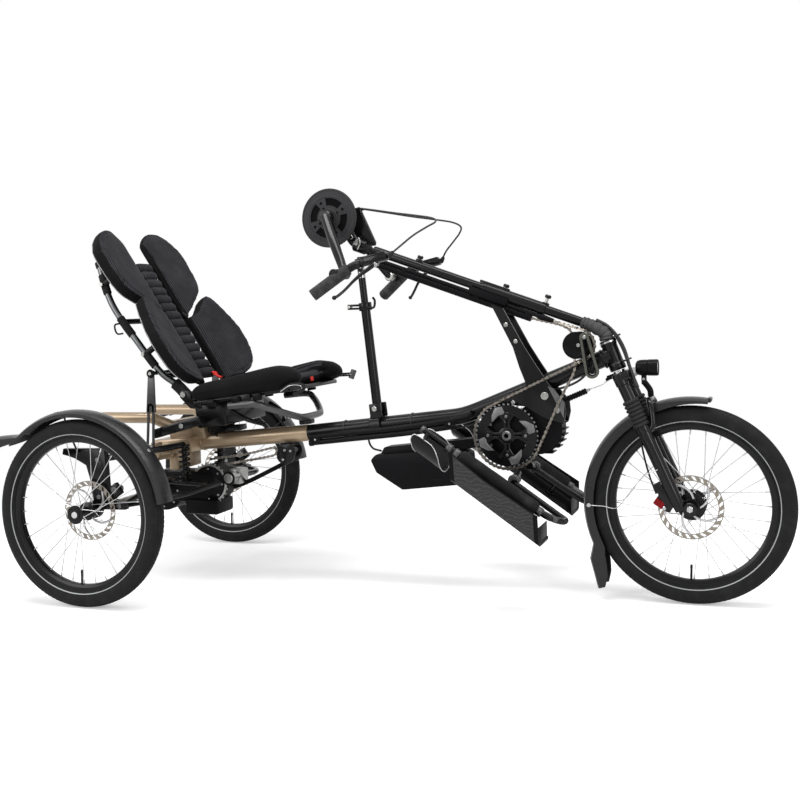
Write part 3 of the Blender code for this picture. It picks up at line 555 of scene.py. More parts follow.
def disc_ring(shape, centre, disc_y):
    """A brake disc: a ring with slanted slots, on five swept arms."""
    rings = 7
    steps = 120
    radii = [0.066 + 0.014 * i / (rings - 1) for i in range(rings)]
    for j in range(steps):
        for i in range(rings - 1):
            if 0 < i < 5 and j % 5 < 2:
                continue
            corners = []
            for a, b in ((0, 0), (1, 0), (1, 1), (0, 1)):
                turn = 2 * pi * (j + a) / steps + (i + b) * 0.028
                r = radii[i + b]
                corners.append((cos(turn) * r, sin(turn) * r))
            rows = [[Vector(centre) + Vector((x, disc_y + y, z)) for x, z in corners]
                    for y in (-0.0009, 0.0009)]
            skin(shape, rows, 2)
    for k in range(5):
        turns = [2 * pi * k / 5 + 0.3 * t for t in range(4)]
        line = [Vector(centre) + Vector((cos(t) * r, disc_y, sin(t) * r))
                for t, r in zip(turns, (0.0215, 0.036, 0.052, 0.0675))]
        pipe(shape, curved(line, 4), 0.003, 6, 1)


def wheel(name, centre, body, hub_half, hub_radius, disc_y, stands_for, shaft=0.0):
    shape = bmesh.new()
    rim = [(0.2027, 0.0105), (0.207, 0.0112), (0.2072, 0.0124), (0.2, 0.0125),
           (0.196, 0.0118), (0.1905, 0.0085), (0.189, 0.005)]
    turning(shape, mirrored(rim), centre, sides=128)
    flange = hub_half - 0.005
    hub = [(0.0095, hub_half), (0.016, hub_half), (0.0165, flange + 0.003),
           (hub_radius + 0.004, flange + 0.002), (hub_radius + 0.005, flange),
           (hub_radius + 0.004, flange - 0.002), (hub_radius * 0.72, flange - 0.006)]
    turning(shape, mirrored(hub, (hub_radius * 0.66, 0.0)), centre, sides=40)
    for k, turn in enumerate(full_turn(SPOKES)):
        lead = radians(SPOKE_LEAD if k % 4 < 2 else -SPOKE_LEAD)
        side = flange if k % 2 else -flange
        foot = centre + spoke(turn + lead) * (hub_radius + 0.001) + left(side)
        rim_end = centre + spoke(turn) * SPOKE_END
        pipe(shape, [foot, rim_end], 0.001, 5, 1)
        line = (foot - rim_end).normalized()
        pipe(shape, [rim_end + line * 0.012, rim_end - line * 0.001], 0.0018, 6, 1)
    disc_ring(shape, centre, disc_y)
    outward = -1 if disc_y < 0 else 1
    low, high = sorted((outward * (hub_half - 0.001), outward * 0.043))
    turning(shape, [(0.012, low), (0.012, high), (0.0225, high), (0.0235, (low + high) / 2),
                    (0.0225, low)], centre, sides=36)
    if shaft:
        inner = Vector((centre.x, shaft * 0.0505, centre.z))
        outer = centre - left(shaft * 0.02)
        pipe(shape, [outer, inner], 0.009, 28, 1)
        for k in range(9):
            y = shaft * (0.064 + 0.0055 * k)
            cap(shape, (centre.x, y, centre.z), 0.018 - 0.0008 * k, -0.0019, 0.0019, sides=24, part=3)
    for k in range(2):
        depths = sorted((-outward * (0.02 + 0.004 * k), -outward * (0.029 + 0.0014 * k)))
        cap(shape, centre, (0.015 if shaft else 0.011) - 0.006 * k, *depths, part=k)
    valve = spoke(radians(-92))
    pipe(shape, [centre + valve * r for r in (0.19, 0.162, 0.16, 0.152)],
         [0.003, 0.003, 0.0036, 0.003], 14)
    piece(name, shape, [black_paint, steel, disc_steel, rubber], body, "black_paint", stands_for, 34)


def rubber_finish(name, colour):
    """Moulded rubber with a dull, slightly uneven skin."""
    made, shader, place = finish(name, colour, 0.7, shine=0.22)
    feed(shader, "Roughness", 0.55 + place.noise(60.0, 3.0) * 0.3)
    relief(shader, place.noise(1100.0), 0.00012)
    return made


rubber = rubber_finish("soft rubber", (0.016, 0.016, 0.016))
disc_steel = bright("disc steel", (0.3, 0.27, 0.235), 0.3, 40.0)
front_hub = pivots["front_wheel_spin"]
tyre("front_tyre_treaded", front_hub, "front_wheel", ["front_tyre"])
wheel("front_wheel_laced", front_hub, "front_wheel", 0.03, 0.03, -DISC_Y, ["front_wheel"])
for side, s in SIDES:
    hub = pivots[side + "_rear_wheel_spin"]
    body = side + "_rear_wheel"
    tyre(side + "_rear_tyre_treaded", hub, body, [side + "_rear_tyre"])
    wheel(side + "_rear_wheel_laced", hub, body, 0.03, 0.02, -s * DISC_Y, [body], s)

# -------------------- rear guards
# Blow-moulded mudguards with rolled edges and a raised middle, each on two thin black stays that
# come down the inner side of its wheel. Satin black plastic with a fine spark grain.

GUARD_RADIUS = 0.2675


def moulded(name, colour, roughness, grain=520.0, depth=0.00018, shine=0.07):
    """Spark-eroded plastic: fine even grain, slightly patchy sheen."""
    made, shader, place = finish(name, colour, roughness, shine=shine)
    feed(shader, "Roughness", roughness - 0.06 + place.noise(22.0, 3.0) * 0.14)
    feed(shader, "Base Color", place.noise(14.0).blend(tuple(c * 0.8 for c in colour),
                                                      tuple(c * 1.25 for c in colour)))
    relief(shader, place.cells(grain), depth)
    return made


plastic = moulded("black plastic", (0.0042, 0.0042, 0.005), 0.4)
guard_satin = moulded("satin guard plastic", (0.011, 0.011, 0.012), 0.26, shine=0.34)


def guard(shape, line, half_width, rise):
    """A curved channel: line holds (place, outward direction, depth of the sides) per station."""
    rings = []
    for place, out, sides in line:
        over = [(-half_width, -sides), (-half_width, -sides * 0.5)]
        over += [((-1 + k / 6) * half_width, rise * (1 - abs(-1 + k / 6) ** 2.6)) for k in range(13)]
        over += [(half_width, -sides * 0.5), (half_width, -sides)]
        under = [(y * 0.955, h - 0.0014 * (abs(y) < half_width)) for y, h in reversed(over)]
        rings.append([place + out * h + left(y) for y, h in over + under])
    skin(shape, rings)
    for s in (-1, 1):
        edge = [place + left(s * half_width * 0.975) - out * sides
                for place, out, sides in line]
        pipe(shape, edge, 0.0013, 6)


for side, s in SIDES:
    hub = pivots[side + "_rear_wheel_spin"]
    line = []
    for k in range(41):
        out = spoke(radians(8 + 123 * k / 40))
        line.append((hub + out * GUARD_RADIUS, out, 0.009))
    tail = spoke(radians(131))
    last = hub + tail * GUARD_RADIUS
    kick = Vector((hub.x - 0.2515, hub.y, hub.z + 0.1945))
    for k in range(1, 5):
        out = tail.lerp(Vector((0, 0, 1)), k / 4).normalized()
        line.append((last.lerp(kick, k / 4), out, 0.009 + 0.0035 * k))
    shape = bmesh.new()
    guard(shape, line, 0.0305, 0.0085)
    for out in (spoke(radians(38)), spoke(radians(104))):
        pipe(shape, curved([hub + out * 0.27, hub + out * 0.267 - left(s * 0.027),
                            hub + out * 0.235 - left(s * 0.029),
                            hub + out * 0.16 - left(s * 0.047)], 5), 0.0026, 8)
        cap(shape, hub + out * 0.2755, 0.005, 0.0, 0.0025, out, 16, 1, 0.0006)
    piece(side + "_rear_guard_moulded", shape, [guard_satin, steel], "frame", "black_plastic",
          [side + "_rear_guard"], 45)

# -------------------- rear suspension
# Each rear wheel hangs on a machined knuckle between wishbones of round tube, with a coil spring
# over a damper and a link rod. Painted steel; the knuckle carries the brake and the half axle.


def span(s, near, far):
    """Two depths on the side s, the lower first."""
    return sorted((s * near, s * far))


def slab(shape, outline, low, high, soft=0.0008, part=0):
    """A plate across Y from an outline of (x, z) places, with softened edges."""
    faces = skin(shape, [[at(x, y, z) for x, z in outline] for y in (low, high)], part)
    softened(shape, faces, soft)


COILS = 6.5
for side, s in SIDES:
    shape = bmesh.new()
    y = s * 0.345
    turning(shape, mirrored([(0.0132, -0.01), (0.023, -0.01), (0.024, -0.008)]),
            at(0, y, 0.25), sides=40)
    low, high = span(s, 0.336, 0.354)
    slab(shape, [(-0.094, 0.397), (-0.09, 0.414), (0.046, 0.416), (0.046, 0.3), (0.06, 0.276),
                 (0.104, 0.272), (0.104, 0.252), (0.004, 0.25), (-0.001, 0.33), (-0.014, 0.372),
                 (-0.05, 0.39)], low, high, 0.003)
    slab(shape, [(0.006, 0.3), (0.036, 0.3), (0.036, 0.38), (0.01, 0.384)],
         *span(s, 0.3535, 0.3552), 0.0007)
    brick(shape, at(0.07, s * 0.353, 0.3), (0.044, 0.016, 0.034), radians(35), 0.003)
    cap(shape, at(0.074, s * 0.345, 0.306), 0.01, -0.016, 0.016, part=1)
    pipe(shape, curved([at(0.085, y, 0.262), at(0.19, s * 0.225, 0.272), at(0.225, s * 0.066, 0.282)]),
         0.008, 20)
    pipe(shape, curved([at(0.085, s * 0.34, 0.262), at(0.08, s * 0.15, 0.29),
                        at(0.08, s * 0.064, 0.29)]), 0.008, 20)
    pipe(shape, curved([at(0.02, y, 0.385), at(0.12, s * 0.18, 0.395), at(0.13, s * 0.1, 0.395)]),
         0.009, 20)
    foot, top = at(0.133, s * 0.1, 0.29), at(0.133, s * 0.1, 0.392)
    pipe(shape, [foot, top], 0.0075, 20)
    coil = []
    for k in range(121):
        turn = 2 * pi * COILS * k / 120
        middle = foot.lerp(top, 0.04 + 0.92 * k / 120)
        coil.append(middle + Vector((cos(turn), sin(turn), 0)) * 0.0145)
    pipe(shape, coil, 0.0027, 8)
    for end in (foot, top):
        cap(shape, end, 0.0168, -0.003, 0.003, (0, 0, 1), 28)
    pipe(shape, [at(0.208, s * 0.1, 0.282), at(0.075, s * 0.1, 0.288)], 0.008, 20)
    for x, z in ((0.022, 0.385), (0.022, 0.285), (0.085, 0.262)):
        cap(shape, at(x, y, z), 0.0075, -0.0125, 0.0125, sides=6, part=1)
    piece(side + "_suspension_arms", shape, [black_paint, dark_steel, steel], "frame", "black_paint",
          [side + "_suspension"])

# -------------------- rear drive
# A geared hub turned into a mid drive: its shell, two sprockets, the differential's housing and a
# shift box, bolted between plates under the frame. Cast alloy, painted black, with bright bolts.

cast_black = moulded("cast black", (0.0045, 0.0045, 0.0052), 0.38, 300.0, 0.00025)
zinc = bright("zinc bolts", (0.4, 0.4, 0.385), 0.3)
shape = bmesh.new()
for x, z, radius, half in ((0.02, 0.25, 0.06, 0.05), (0.17, 0.272, 0.055, 0.045)):
    shell = [(0.0, -half), (radius * 0.55, -half), (radius * 0.72, 0.01 - half),
             (radius - 0.004, 0.013 - half), (radius, 0.017 - half)]
    turning(shape, mirrored(shell), at(x, 0, z), sides=56)
    for turn in full_turn(8):
        foot = at(x + cos(turn) * radius * 0.8, 0, z + sin(turn) * radius * 0.8)
        cap(shape, foot, 0.0035, 0.013 - half - 0.005, half - 0.009, sides=6, part=1)
brick(shape, at(0.095, 0, 0.262), (0.15, 0.08, 0.09), 0.0, 0.006)
brick(shape, at(0.15, 0, 0.205), (0.11, 0.096, 0.044), 0.0, 0.008)
brick(shape, at(0.24, 0.02, 0.29), (0.04, 0.05, 0.044), 0.0, 0.004, 1)
cap(shape, at(0.245, 0, 0.292), 0.014, -0.052, 0.04, part=1)
cap(shape, at(0.245, 0, 0.292), 0.02, -0.05, -0.046)
pipe(shape, curved([at(0.18, 0.03, 0.25), at(0.249, 0.03, 0.264), at(0.41, 0.03, 0.338)]),
     0.0065, 20)
for turn in full_turn(26):
    tooth = at(0.17 + cos(turn) * 0.0585, -0.03, 0.272 + sin(turn) * 0.0585)
    brick(shape, tooth, (0.006, 0.0026, 0.0052), turn, 0.0006, 1)
cap(shape, at(0.17, -0.03, 0.272), 0.0568, -0.0013, 0.0013, sides=52, part=1, soft=0.0004)
piece("rear_drive_unit", shape, [cast_black, zinc], "frame", "black_plastic", ["rear_drive"])

# -------------------- chains
# Half-inch roller chain: pairs of waisted plates joined by rollers, in nickelled steel, a little
# oily. One length turns the rear hub; the other comes down from the boom to the motor's ring.

PITCH = 0.0127


def evenly(path, step):
    """Points along a path, this far apart."""
    found, gap = [path[0]], step
    for a, b in zip(path, path[1:]):
        length = (b - a).length
        done = 0.0
        while length - done >= gap:
            done += gap
            found.append(a.lerp(b, done / length))
            gap = step
        gap -= length - done
    return found


def chain(shape, path):
    """Links along a path: inner and outer plates by turns, each with its pin and roller."""
    rollers = evenly(path, PITCH)
    for n, (a, b) in enumerate(zip(rollers, rollers[1:])):
        along = (b - a).normalized()
        side = along.cross(left(1)).normalized()
        across = side.cross(along).normalized()
        wide = 0.0036 if n % 2 else 0.0027
        for s in (-1, 1):
            rim = []
            for centre, sign in ((a, -1), (b, 1)):
                for k in range(5):
                    turn = radians(-72 + 36 * k)
                    rim.append(centre + along * (sign * cos(turn) * 0.004)
                               + side * (sin(turn) * sign * 0.004))
                rim.append((a + b) / 2 + side * (sign * 0.002))
            low, high = sorted((s * wide, s * (wide + 0.0009)))
            skin(shape, [[point + across * low for point in rim],
                         [point + across * high for point in rim]])
        pipe(shape, [a - across * 0.0042, a + across * 0.0042], 0.0019, 8)
        pipe(shape, [a - across * 0.0025, a + across * 0.0025], 0.0036, 10)


chain_steel, shader, place = finish("chain steel", (0.26, 0.245, 0.22), 0.3, 0.95)
grime = place.noise(150.0, 4.0).step(0.45, 0.7)
feed(shader, "Base Color", grime.blend((0.27, 0.245, 0.215), (0.055, 0.046, 0.038)))
feed(shader, "Roughness", 0.24 + grime * 0.3)
rear_route = [(0.18, -0.03, 0.344), (0.225, -0.03, 0.351), (0.291, -0.03, 0.36),
              (0.346, -0.02, 0.372), (0.38, -0.014, 0.379), (0.386, -0.012, 0.369),
              (0.38, -0.014, 0.358), (0.345, -0.02, 0.35), (0.274, -0.03, 0.338),
              (0.228, -0.03, 0.33)]
shape = bmesh.new()
chain(shape, curved([at(*p) for p in rear_route], 8))
piece("rear_chain_links", shape, [chain_steel], "frame", "chain_steel", ["rear_chain"], 30)

idler_hub = at(1.266, 0, 0.657)
ring_hub = pivots["motor_ring_spin"]
boom_axis = (at(1.268, 0, 0.7155) - at(0.69, 0, 0.9313)).normalized()
boom_down = Vector((boom_axis.z, 0, -boom_axis.x))


def on_boom(x, drop=0.0, y=0.0):
    """A place on the boom's line at x, moved square to it by drop and sideways by y."""
    share = (x - 0.69) / boom_axis.x
    return at(0.69, y, 0.9313) + boom_axis * share + boom_down * drop


def round_wheel(centre, radius, first, last, steps, y):
    """A chain's path round part of a wheel, between two angles in degrees."""
    turns = [radians(first + (last - first) * i / steps) for i in range(steps + 1)]
    return [Vector((centre.x + radius * cos(t), y, centre.z + radius * sin(t)))
            for t in turns]


front_route = [on_boom(1.207, 0.0205, -0.01), *round_wheel(idler_hub, 0.0402, 74, -75, 9, -0.028),
               at(1.235, -0.04, 0.5993), *round_wheel(ring_hub, 0.0885, 116, 335, 14, -0.046),
               at(1.226, -0.04, 0.538), at(1.247, -0.035, 0.575), at(1.256, -0.027, 0.606),
               at(1.25, -0.014, 0.62), at(1.246, -0.0115, 0.64), at(1.238, -0.012, 0.699),
               on_boom(1.152, 0.0325, -0.006)]
shape = bmesh.new()
chain(shape, curved(front_route, 4))
piece("front_chain_links", shape, [chain_steel], "frame", "chain_steel", ["front_chain"], 30)

# -------------------- chain tubes and guide
# Two smooth plastic tubes keep the return chain clean under the main tube; they end in a two-plate
# steel guide with rollers behind, and in clips ahead.

gloss_plastic = moulded("glossy plastic", (0.006, 0.006, 0.0065), 0.24, 300.0, 0.00006)
shape = bmesh.new()
TUBES = [([(0.5, 0.4135), (0.607, 0.4245), (0.785, 0.442), (0.945, 0.4665), (0.978, 0.482)], 0.0085),
         ([(0.5, 0.396), (0.607, 0.4075), (0.785, 0.4265), (0.93, 0.447)], 0.008)]
for run, radius in TUBES:
    path = curved([at(x, -0.0325, z) for x, z in run], 6)
    pipe(shape, path, radius, 24)
    for end, nearby in ((path[0], path[1]), (path[-1], path[-2])):
        line = (nearby - end).normalized()
        pipe(shape, [end, end + line * 0.01], radius + 0.0014, 24)
for x, z, lean in ((0.52, 0.4065, 6), (0.915, 0.4535, 9)):
    brick(shape, at(x, -0.0325, z), (0.03, 0.016, 0.022), radians(lean), 0.002)
    cap(shape, at(x, -0.0325, z), 0.003, -0.0105, -0.007, sides=12, part=1, soft=0.0005)
piece("rear_chain_tube_pair", shape, [gloss_plastic, zinc], "frame", "black_plastic",
      ["rear_chain_tubes"])
shape = bmesh.new()
outline = [(0.398, 0.3882), (0.44, 0.392), (0.45, 0.38), (0.452, 0.366), (0.446, 0.348),
           (0.436, 0.338), (0.42, 0.333), (0.408, 0.334), (0.398, 0.342), (0.392, 0.352)]
for low, high in ((-0.03, -0.026), (0.016, 0.02)):
    slab(shape, outline, low, high, 0.0008)
for x, z in ((0.418, 0.374), (0.412, 0.347), (0.436, 0.372)):
    cap(shape, at(x, 0, z), 0.004, -0.0325, 0.0225, sides=16, part=1)
    cap(shape, at(x, 0, z), 0.009, -0.024, 0.014, sides=24)
piece("chain_guide_plates", shape, [black_paint, zinc], "frame", "black_paint", ["chain_guide"])

# -------------------- battery
# A lithium pack in a moulded case of two halves, seamed down the middle. It slides on a black rail
# under the main tube, and a lock on its right side holds it there.

shape = bmesh.new()
case = [(0.684, 0.352), (0.7, 0.368), (0.93, 0.386), (0.96, 0.372), (0.962, 0.33),
        (0.94, 0.29), (0.775, 0.272), (0.7, 0.318)]
for low, high in ((-0.045, -0.0012), (0.0012, 0.045)):
    slab(shape, case, low, high, 0.007)
slab(shape, [(x * 0.985 + 0.0125, z * 0.985 + 0.005) for x, z in case], -0.044, 0.044, 0.002)
rail = [(0.705, 0.36), (0.93, 0.38), (1.02, 0.396), (1.01, 0.418), (0.93, 0.408),
        (0.72, 0.386)]
slab(shape, rail, -0.027, 0.027, 0.003)
for k in range(3):
    slab(shape, [(0.748 + 0.06 * k, 0.3), (0.796 + 0.06 * k, 0.305),
                 (0.796 + 0.06 * k, 0.309), (0.748 + 0.06 * k, 0.304)], -0.0458, 0.0458, 0.0006)
cap(shape, at(0.944, 0, 0.352), 0.009, -0.0468, -0.04, sides=24, part=1)
piece("battery_case", shape, [plastic, zinc], "frame", "black_plastic", ["battery"])

# -------------------- motor
# A cast mid motor with cooling fins round its front half, hung between the boom plates under the
# main tube. Cast alloy, painted black, with a ring of bright bolts on its cover.

shape = bmesh.new()
hub = at(1.075, 0, 0.425)
turning(shape, [(0.0, -0.036), (0.052, -0.036), (0.06, -0.032), (0.062, -0.028), (0.062, 0.042),
                (0.058, 0.05), (0.0, 0.05)], hub, sides=64)
FIN_RADIUS = 0.074
cap(shape, at(1.15, 0, 0.44), 0.0665, -0.0287, 0.0287, sides=72, soft=0.003)
for k in range(9):
    z = 0.378 + 0.0155 * k
    reach = sqrt(max(0.0, FIN_RADIUS ** 2 - (z - 0.44) ** 2))
    brick(shape, at(1.15 + reach / 2, 0, z), (max(0.02, reach - 0.001), 0.056, 0.0032), 0.0, 0.0008)
for k in range(6):
    cap(shape, hub + spoke(2 * pi * (k + 0.5) / 6) * 0.055, 0.004, -0.0385, -0.034, sides=6,
        part=1, soft=0.0005)
piece("motor_casting", shape, [cast_black, zinc], "frame", "black_plastic", ["motor"])

# The ring on the motor's shaft: a toothed steel ring on a forged spider with four dished windows
# and four bright machined facets at its rim, closed by black guard segments.

facet_alloy = bright("machined facets", (0.2, 0.2, 0.2), 0.44)
shape = bmesh.new()
hub = ring_hub + left(-0.05)
turning(shape, [(0.0555, -0.0022), (0.0555, 0.0022), (0.08, 0.0022), (0.08, -0.0022)], hub,
        sides=96)
for turn in full_turn(42):
    tooth = hub + Vector((cos(turn) * 0.0815, 0, sin(turn) * 0.0815))
    brick(shape, tooth, (0.0052, 0.0024, 0.0056), turn, 0.0006, 1)
FACET = [(93, 0.0575), (98, 0.077), (112, 0.0785), (127, 0.065), (139, 0.052), (112, 0.056)]
SPIDER_ARM = [(0.019, 0.006), (0.034, 0.005), (0.048, 0.013), (0.058, 0.022)]
for lean in full_turn(4):
    middle = radians(110) + lean
    tip = shape.verts.new(hub + Vector((cos(middle) * 0.0675, -0.0066, sin(middle) * 0.0675)))
    low = []
    for degrees, r in FACET:
        t = radians(degrees) + lean
        low.append(shape.verts.new(hub + Vector((cos(t) * r, -0.0034, sin(t) * r))))
    faces = [shape.faces.new((low[i], low[(i + 1) % len(low)], tip)) for i in range(len(low))]
    for face in (*faces, shape.faces.new(low[::-1])):
        face.material_index = 2
    arm = radians(90) + lean
    out = spoke(arm)
    round_out = Vector((-sin(arm), 0, cos(arm)))
    for t in (-1, 1):
        pipe(shape, curved([hub + out * r + round_out * t * w for r, w in SPIDER_ARM], 4), 0.004, 10)
    cap(shape, hub + out * 0.0505, 0.0042, -0.0062, 0.004, sides=6, part=1, soft=0.0005)
    cap(shape, hub + out * 0.0505, 0.011, -0.004, 0.004, sides=24)
turning(shape, [(0.0105, -0.006), (0.0105, 0.006), (0.02, 0.006), (0.0225, 0.004),
                (0.0225, -0.004), (0.019, -0.006)], hub, sides=48)
turning(shape, [(0.0065, -0.0085), (0.0065, 0.0), (0.012, 0.0), (0.013, -0.006), (0.011, -0.0085)],
        hub, sides=32, part=1)
piece("motor_ring_spider", shape, [black_paint, dark_steel, facet_alloy], "motor_ring", "black_paint",
      ["motor_ring"], 30)

# -------------------- idler
# The chain turns from the boom to the motor over a wheel on the head tube, with a black flange disc
# and a slotted alloy tension arm that carries a small roller.

shape = bmesh.new()
disc = at(1.26, -0.038, 0.657)
turning(shape, [(0.0, 0.002), (0.03, 0.002), (0.0345, 0.001), (0.035, -0.0005), (0.034, -0.0018),
                (0.028, -0.002), (0.027, -0.0012), (0.012, -0.0012), (0.0, -0.0012)], disc, sides=72)
cap(shape, idler_hub, 0.035, -0.02, -0.0165, sides=72)
cap(shape, idler_hub, 0.022, -0.038, -0.018, sides=40)
cap(shape, idler_hub, 0.0055, -0.0425, -0.036, sides=6, part=1)
arm_top, arm_foot = at(1.283, 0, 0.6775), at(1.301, 0, 0.59)
cap(shape, arm_top, 0.009, -0.042, -0.018, sides=28)


def slotted_arm(shape, top, foot, top_radius, foot_radius, low, high, wall, part):
    """A flat link with round ends and a long slot that follows its outline."""
    line = (foot - top).normalized()
    side = Vector((line.z, 0, -line.x))
    loops = []
    for inset in (0.0, wall):
        loop = []
        for centre, radius, ahead in ((top, top_radius, -1), (foot, foot_radius, 1)):
            for k in range(13):
                turn = radians(-90 + 15 * k)
                away = (line * cos(turn) * ahead + side * sin(turn) * ahead)
                loop.append(centre + away * (radius - inset))
        loops.append(loop)
    outer, inner = loops
    rings = []
    for k in range(len(outer)):
        o, i = outer[k], inner[k]
        rings.append([Vector((o.x, low, o.z)), Vector((o.x, high, o.z)), Vector((i.x, high, i.z)),
                      Vector((i.x, low, i.z))])
    skin(shape, rings, part, closed=True)


slotted_arm(shape, arm_top, arm_foot, 0.0118, 0.0178, -0.05, -0.044, 0.0066, 2)
slotted_arm(shape, arm_top, arm_foot, 0.008, 0.014, -0.0465, -0.0445, 0.006, 0)
cap(shape, arm_top, 0.0048, -0.0515, -0.04, sides=20, part=1)
cap(shape, arm_foot, 0.007, -0.049, -0.024, sides=24)
pipe(shape, [at(1.3, -0.044, 0.59), at(1.3, -0.028, 0.606)], 0.006, 16)
arm_alloy = bright("bronzed alloy", (0.11, 0.11, 0.095), 0.38)
piece("idler_and_arm", shape, [gloss_plastic, zinc, arm_alloy], "frame", "black_paint", ["idler"])

# -------------------- boom plates
# Two laser-cut steel plates, folded a little, join the boom to the main tube and carry the motor.
# Painted black, with a painted highlight in grey along each plate's upper edge and on a small plate on the near side,
# bolted through with dome-head bolts.

# Grey metallic paint that serves as a painted highlight on edges.
painted_edge_highlight = painted("worn paint edge", (0.09, 0.09, 0.09), (0.2, 0.2, 0.2), 0.34, 0.6, 0.1)
outline = [(1.036, 0.77), (1.07, 0.757), (1.1, 0.7), (1.124, 0.655), (1.148, 0.616),
           (1.184, 0.56), (1.226, 0.51), (1.2285, 0.482), (1.222, 0.455), (1.17, 0.47),
           (1.125, 0.5), (1.06, 0.505), (1.058, 0.517), (1.127, 0.556), (1.109, 0.602),
           (1.093, 0.655)]
for side, s in SIDES:
    shape = bmesh.new()
    slab(shape, outline, *span(s, 0.029, 0.034), 0.0006)
    # A grey strip along the plate's upper edge: a painted highlight.
    pipe(shape, [at(x, s * 0.0336, z) for x, z in outline[1:7]], 0.0009, 6, 2)
    for x, z, radius in ((1.076, 0.714, 0.006), (1.101, 0.67, 0.006), (1.174, 0.527, 0.0105),
                         (1.205, 0.49, 0.0078), (1.09, 0.51, 0.0055)):
        cap(shape, at(x, 0, z), radius, *span(s, 0.0335, 0.0372), sides=28, part=1, soft=0.0011)
        cap(shape, at(x, 0, z), radius * 0.5, *span(s, 0.036, 0.0392), sides=6, part=1,
            soft=0.0006)
    # On the near side only, a small grey plate: a painted highlight.
    if s < 0:
        slab(shape, [(1.183, 0.553), (1.199, 0.5465), (1.226, 0.508), (1.223, 0.47)], -0.0355,
             -0.0343, 0.0004, 2)
    piece(side + "_boom_plate_folded", shape, [black_paint, zinc, painted_edge_highlight], "frame", "black_paint",
          [side + "_boom_plate"])

# -------------------- boom
# A round steel boom that slides in an outer sleeve, clamped by two knobs on top, with the two
# plastic tubes of the crank chain clipped below it.

BOOM_LEAN = radians(-20.5)
shape = bmesh.new()
line = [on_boom(x) for x in (0.7, 0.704, 1.262, 1.268)]
pipe(shape, line, [0.0115, 0.0125, 0.0125, 0.012], 36)
sleeve = [on_boom(x) for x in (1.006, 1.0065, 1.012, 1.171, 1.1755, 1.176)]
pipe(shape, sleeve, [0.0135, 0.0158, 0.0165, 0.0165, 0.0158, 0.0135], 40)
brick(shape, on_boom(1.035, -0.0165), (0.085, 0.012, 0.007), BOOM_LEAN, 0.002)
for x, tall in ((0.826, 0.01), (1.063, 0.012), (1.171, 0.021)):
    foot = on_boom(x, -0.01)
    up = -boom_down
    pipe(shape, [foot, foot + up * tall], 0.0042, 16, 1)
    cap(shape, foot + up * tall, 0.0085, -0.001, 0.0075, up, 10, 0, 0.0014)
    cap(shape, foot + up * tall, 0.005, 0.007, 0.0092, up, 20, 1, 0.0005)
    brick(shape, foot + up * 0.003, (0.018, 0.014, 0.01), BOOM_LEAN, 0.002)
slab(shape, [(0.645, 0.8968), (0.722, 0.8968), (0.735, 0.905), (0.735, 0.922), (0.7, 0.93),
             (0.69, 0.918), (0.672, 0.9125), (0.645, 0.9125)], 0.0055, 0.0185, 0.002)
piece("boom_tube_and_sleeve", shape, [black_paint, zinc], "frame", "black_paint", ["boom"])
shape = bmesh.new()
low_tube = [on_boom(x, 0.0205, -0.01) for x in (0.722, 0.7225, 1.16, 1.172, 1.2045, 1.205)]
pipe(shape, low_tube, [0.0045, 0.0055, 0.0055, 0.0085, 0.0062, 0.005], 28)
drop_tube = [on_boom(x, 0.0325, -0.006) for x in (0.708, 0.7085, 0.714, 1.144, 1.1495, 1.15)]
pipe(shape, drop_tube, [0.0085, 0.0098, 0.01, 0.01, 0.0098, 0.0085], 32)
for x in (0.8, 1.0, 1.14):
    brick(shape, on_boom(x, 0.0235, -0.01), (0.016, 0.0105, 0.012), BOOM_LEAN, 0.002)
brick(shape, on_boom(1.03, 0.014, -0.0195), (0.11, 0.005, 0.02), BOOM_LEAN, 0.002)
piece("chain_tube_pair", shape, [plastic], "frame", "black_plastic", ["chain_tubes"])

# A ribbed rubber elbow turns the boom down to the head tube; a plastic cap with a chrome ring ends
# the head tube, and a plain oval pad is glued on its side.

old_rubber = rubber_finish("grey ribbed rubber", (0.055, 0.055, 0.055))
head_top = at(1.333, 0, 0.668)
elbow = curved([on_boom(1.268) + boom_axis * 0.0012, on_boom(1.268) + boom_axis * 0.024,
                head_top + head * 0.02, head_top + head * 0.0008], 24)
sizes = []
for k in range(len(elbow)):
    share = k / (len(elbow) - 1)
    rib = abs(sin(pi * share * 7)) ** 0.6
    sizes.append(0.013 + 0.003 * share + 0.003 * rib)
shape = bmesh.new()
pipe(shape, elbow, sizes, 32)
piece("boom_elbow_ribbed", shape, [old_rubber], "frame", "rubber", ["boom_bellows"], 60)
chrome = bright("chrome", (0.5, 0.5, 0.51), 0.16, 30.0)
gloss_ring = bright("blacked headset ring", (0.06, 0.06, 0.062), 0.3, 30.0)
shape = bmesh.new()
turning(shape, [(0.0203, -0.0005), (0.0222, 0.0), (0.0224, 0.0045), (0.0203, 0.006)],
        head_low + head * 0.015, head, 48, 1)
turning(shape, [(0.0203, 0.0), (0.022, 0.0004), (0.0222, 0.0042), (0.0203, 0.005)],
        head_low + head * 0.0735, head, 48)
piece("headset_rings", shape, [chrome, gloss_ring], "frame", "steel")
shape = bmesh.new()
middle = head_low + head * 0.036 + Vector((-0.006, -0.0192, 0))
across = head.cross(left(1)).normalized()
oval = [head * cos(t) * 0.0165 + across * sin(t) * 0.0085 for t in full_turn(24)]
skin(shape, [[middle + place * r + left(y) for place in oval]
             for r, y in ((1.0, 0.004), (1.0, -0.0008), (0.9, -0.0016), (0.4, -0.002))])
piece("head_tube_pad", shape, [plastic], "frame", "black_plastic")

# -------------------- support post
# A telescopic post from a clamp on the main tube to the boom: a black lower tube, a chromed upper
# tube with two flats, and a split collar closed by a quick-release bolt.

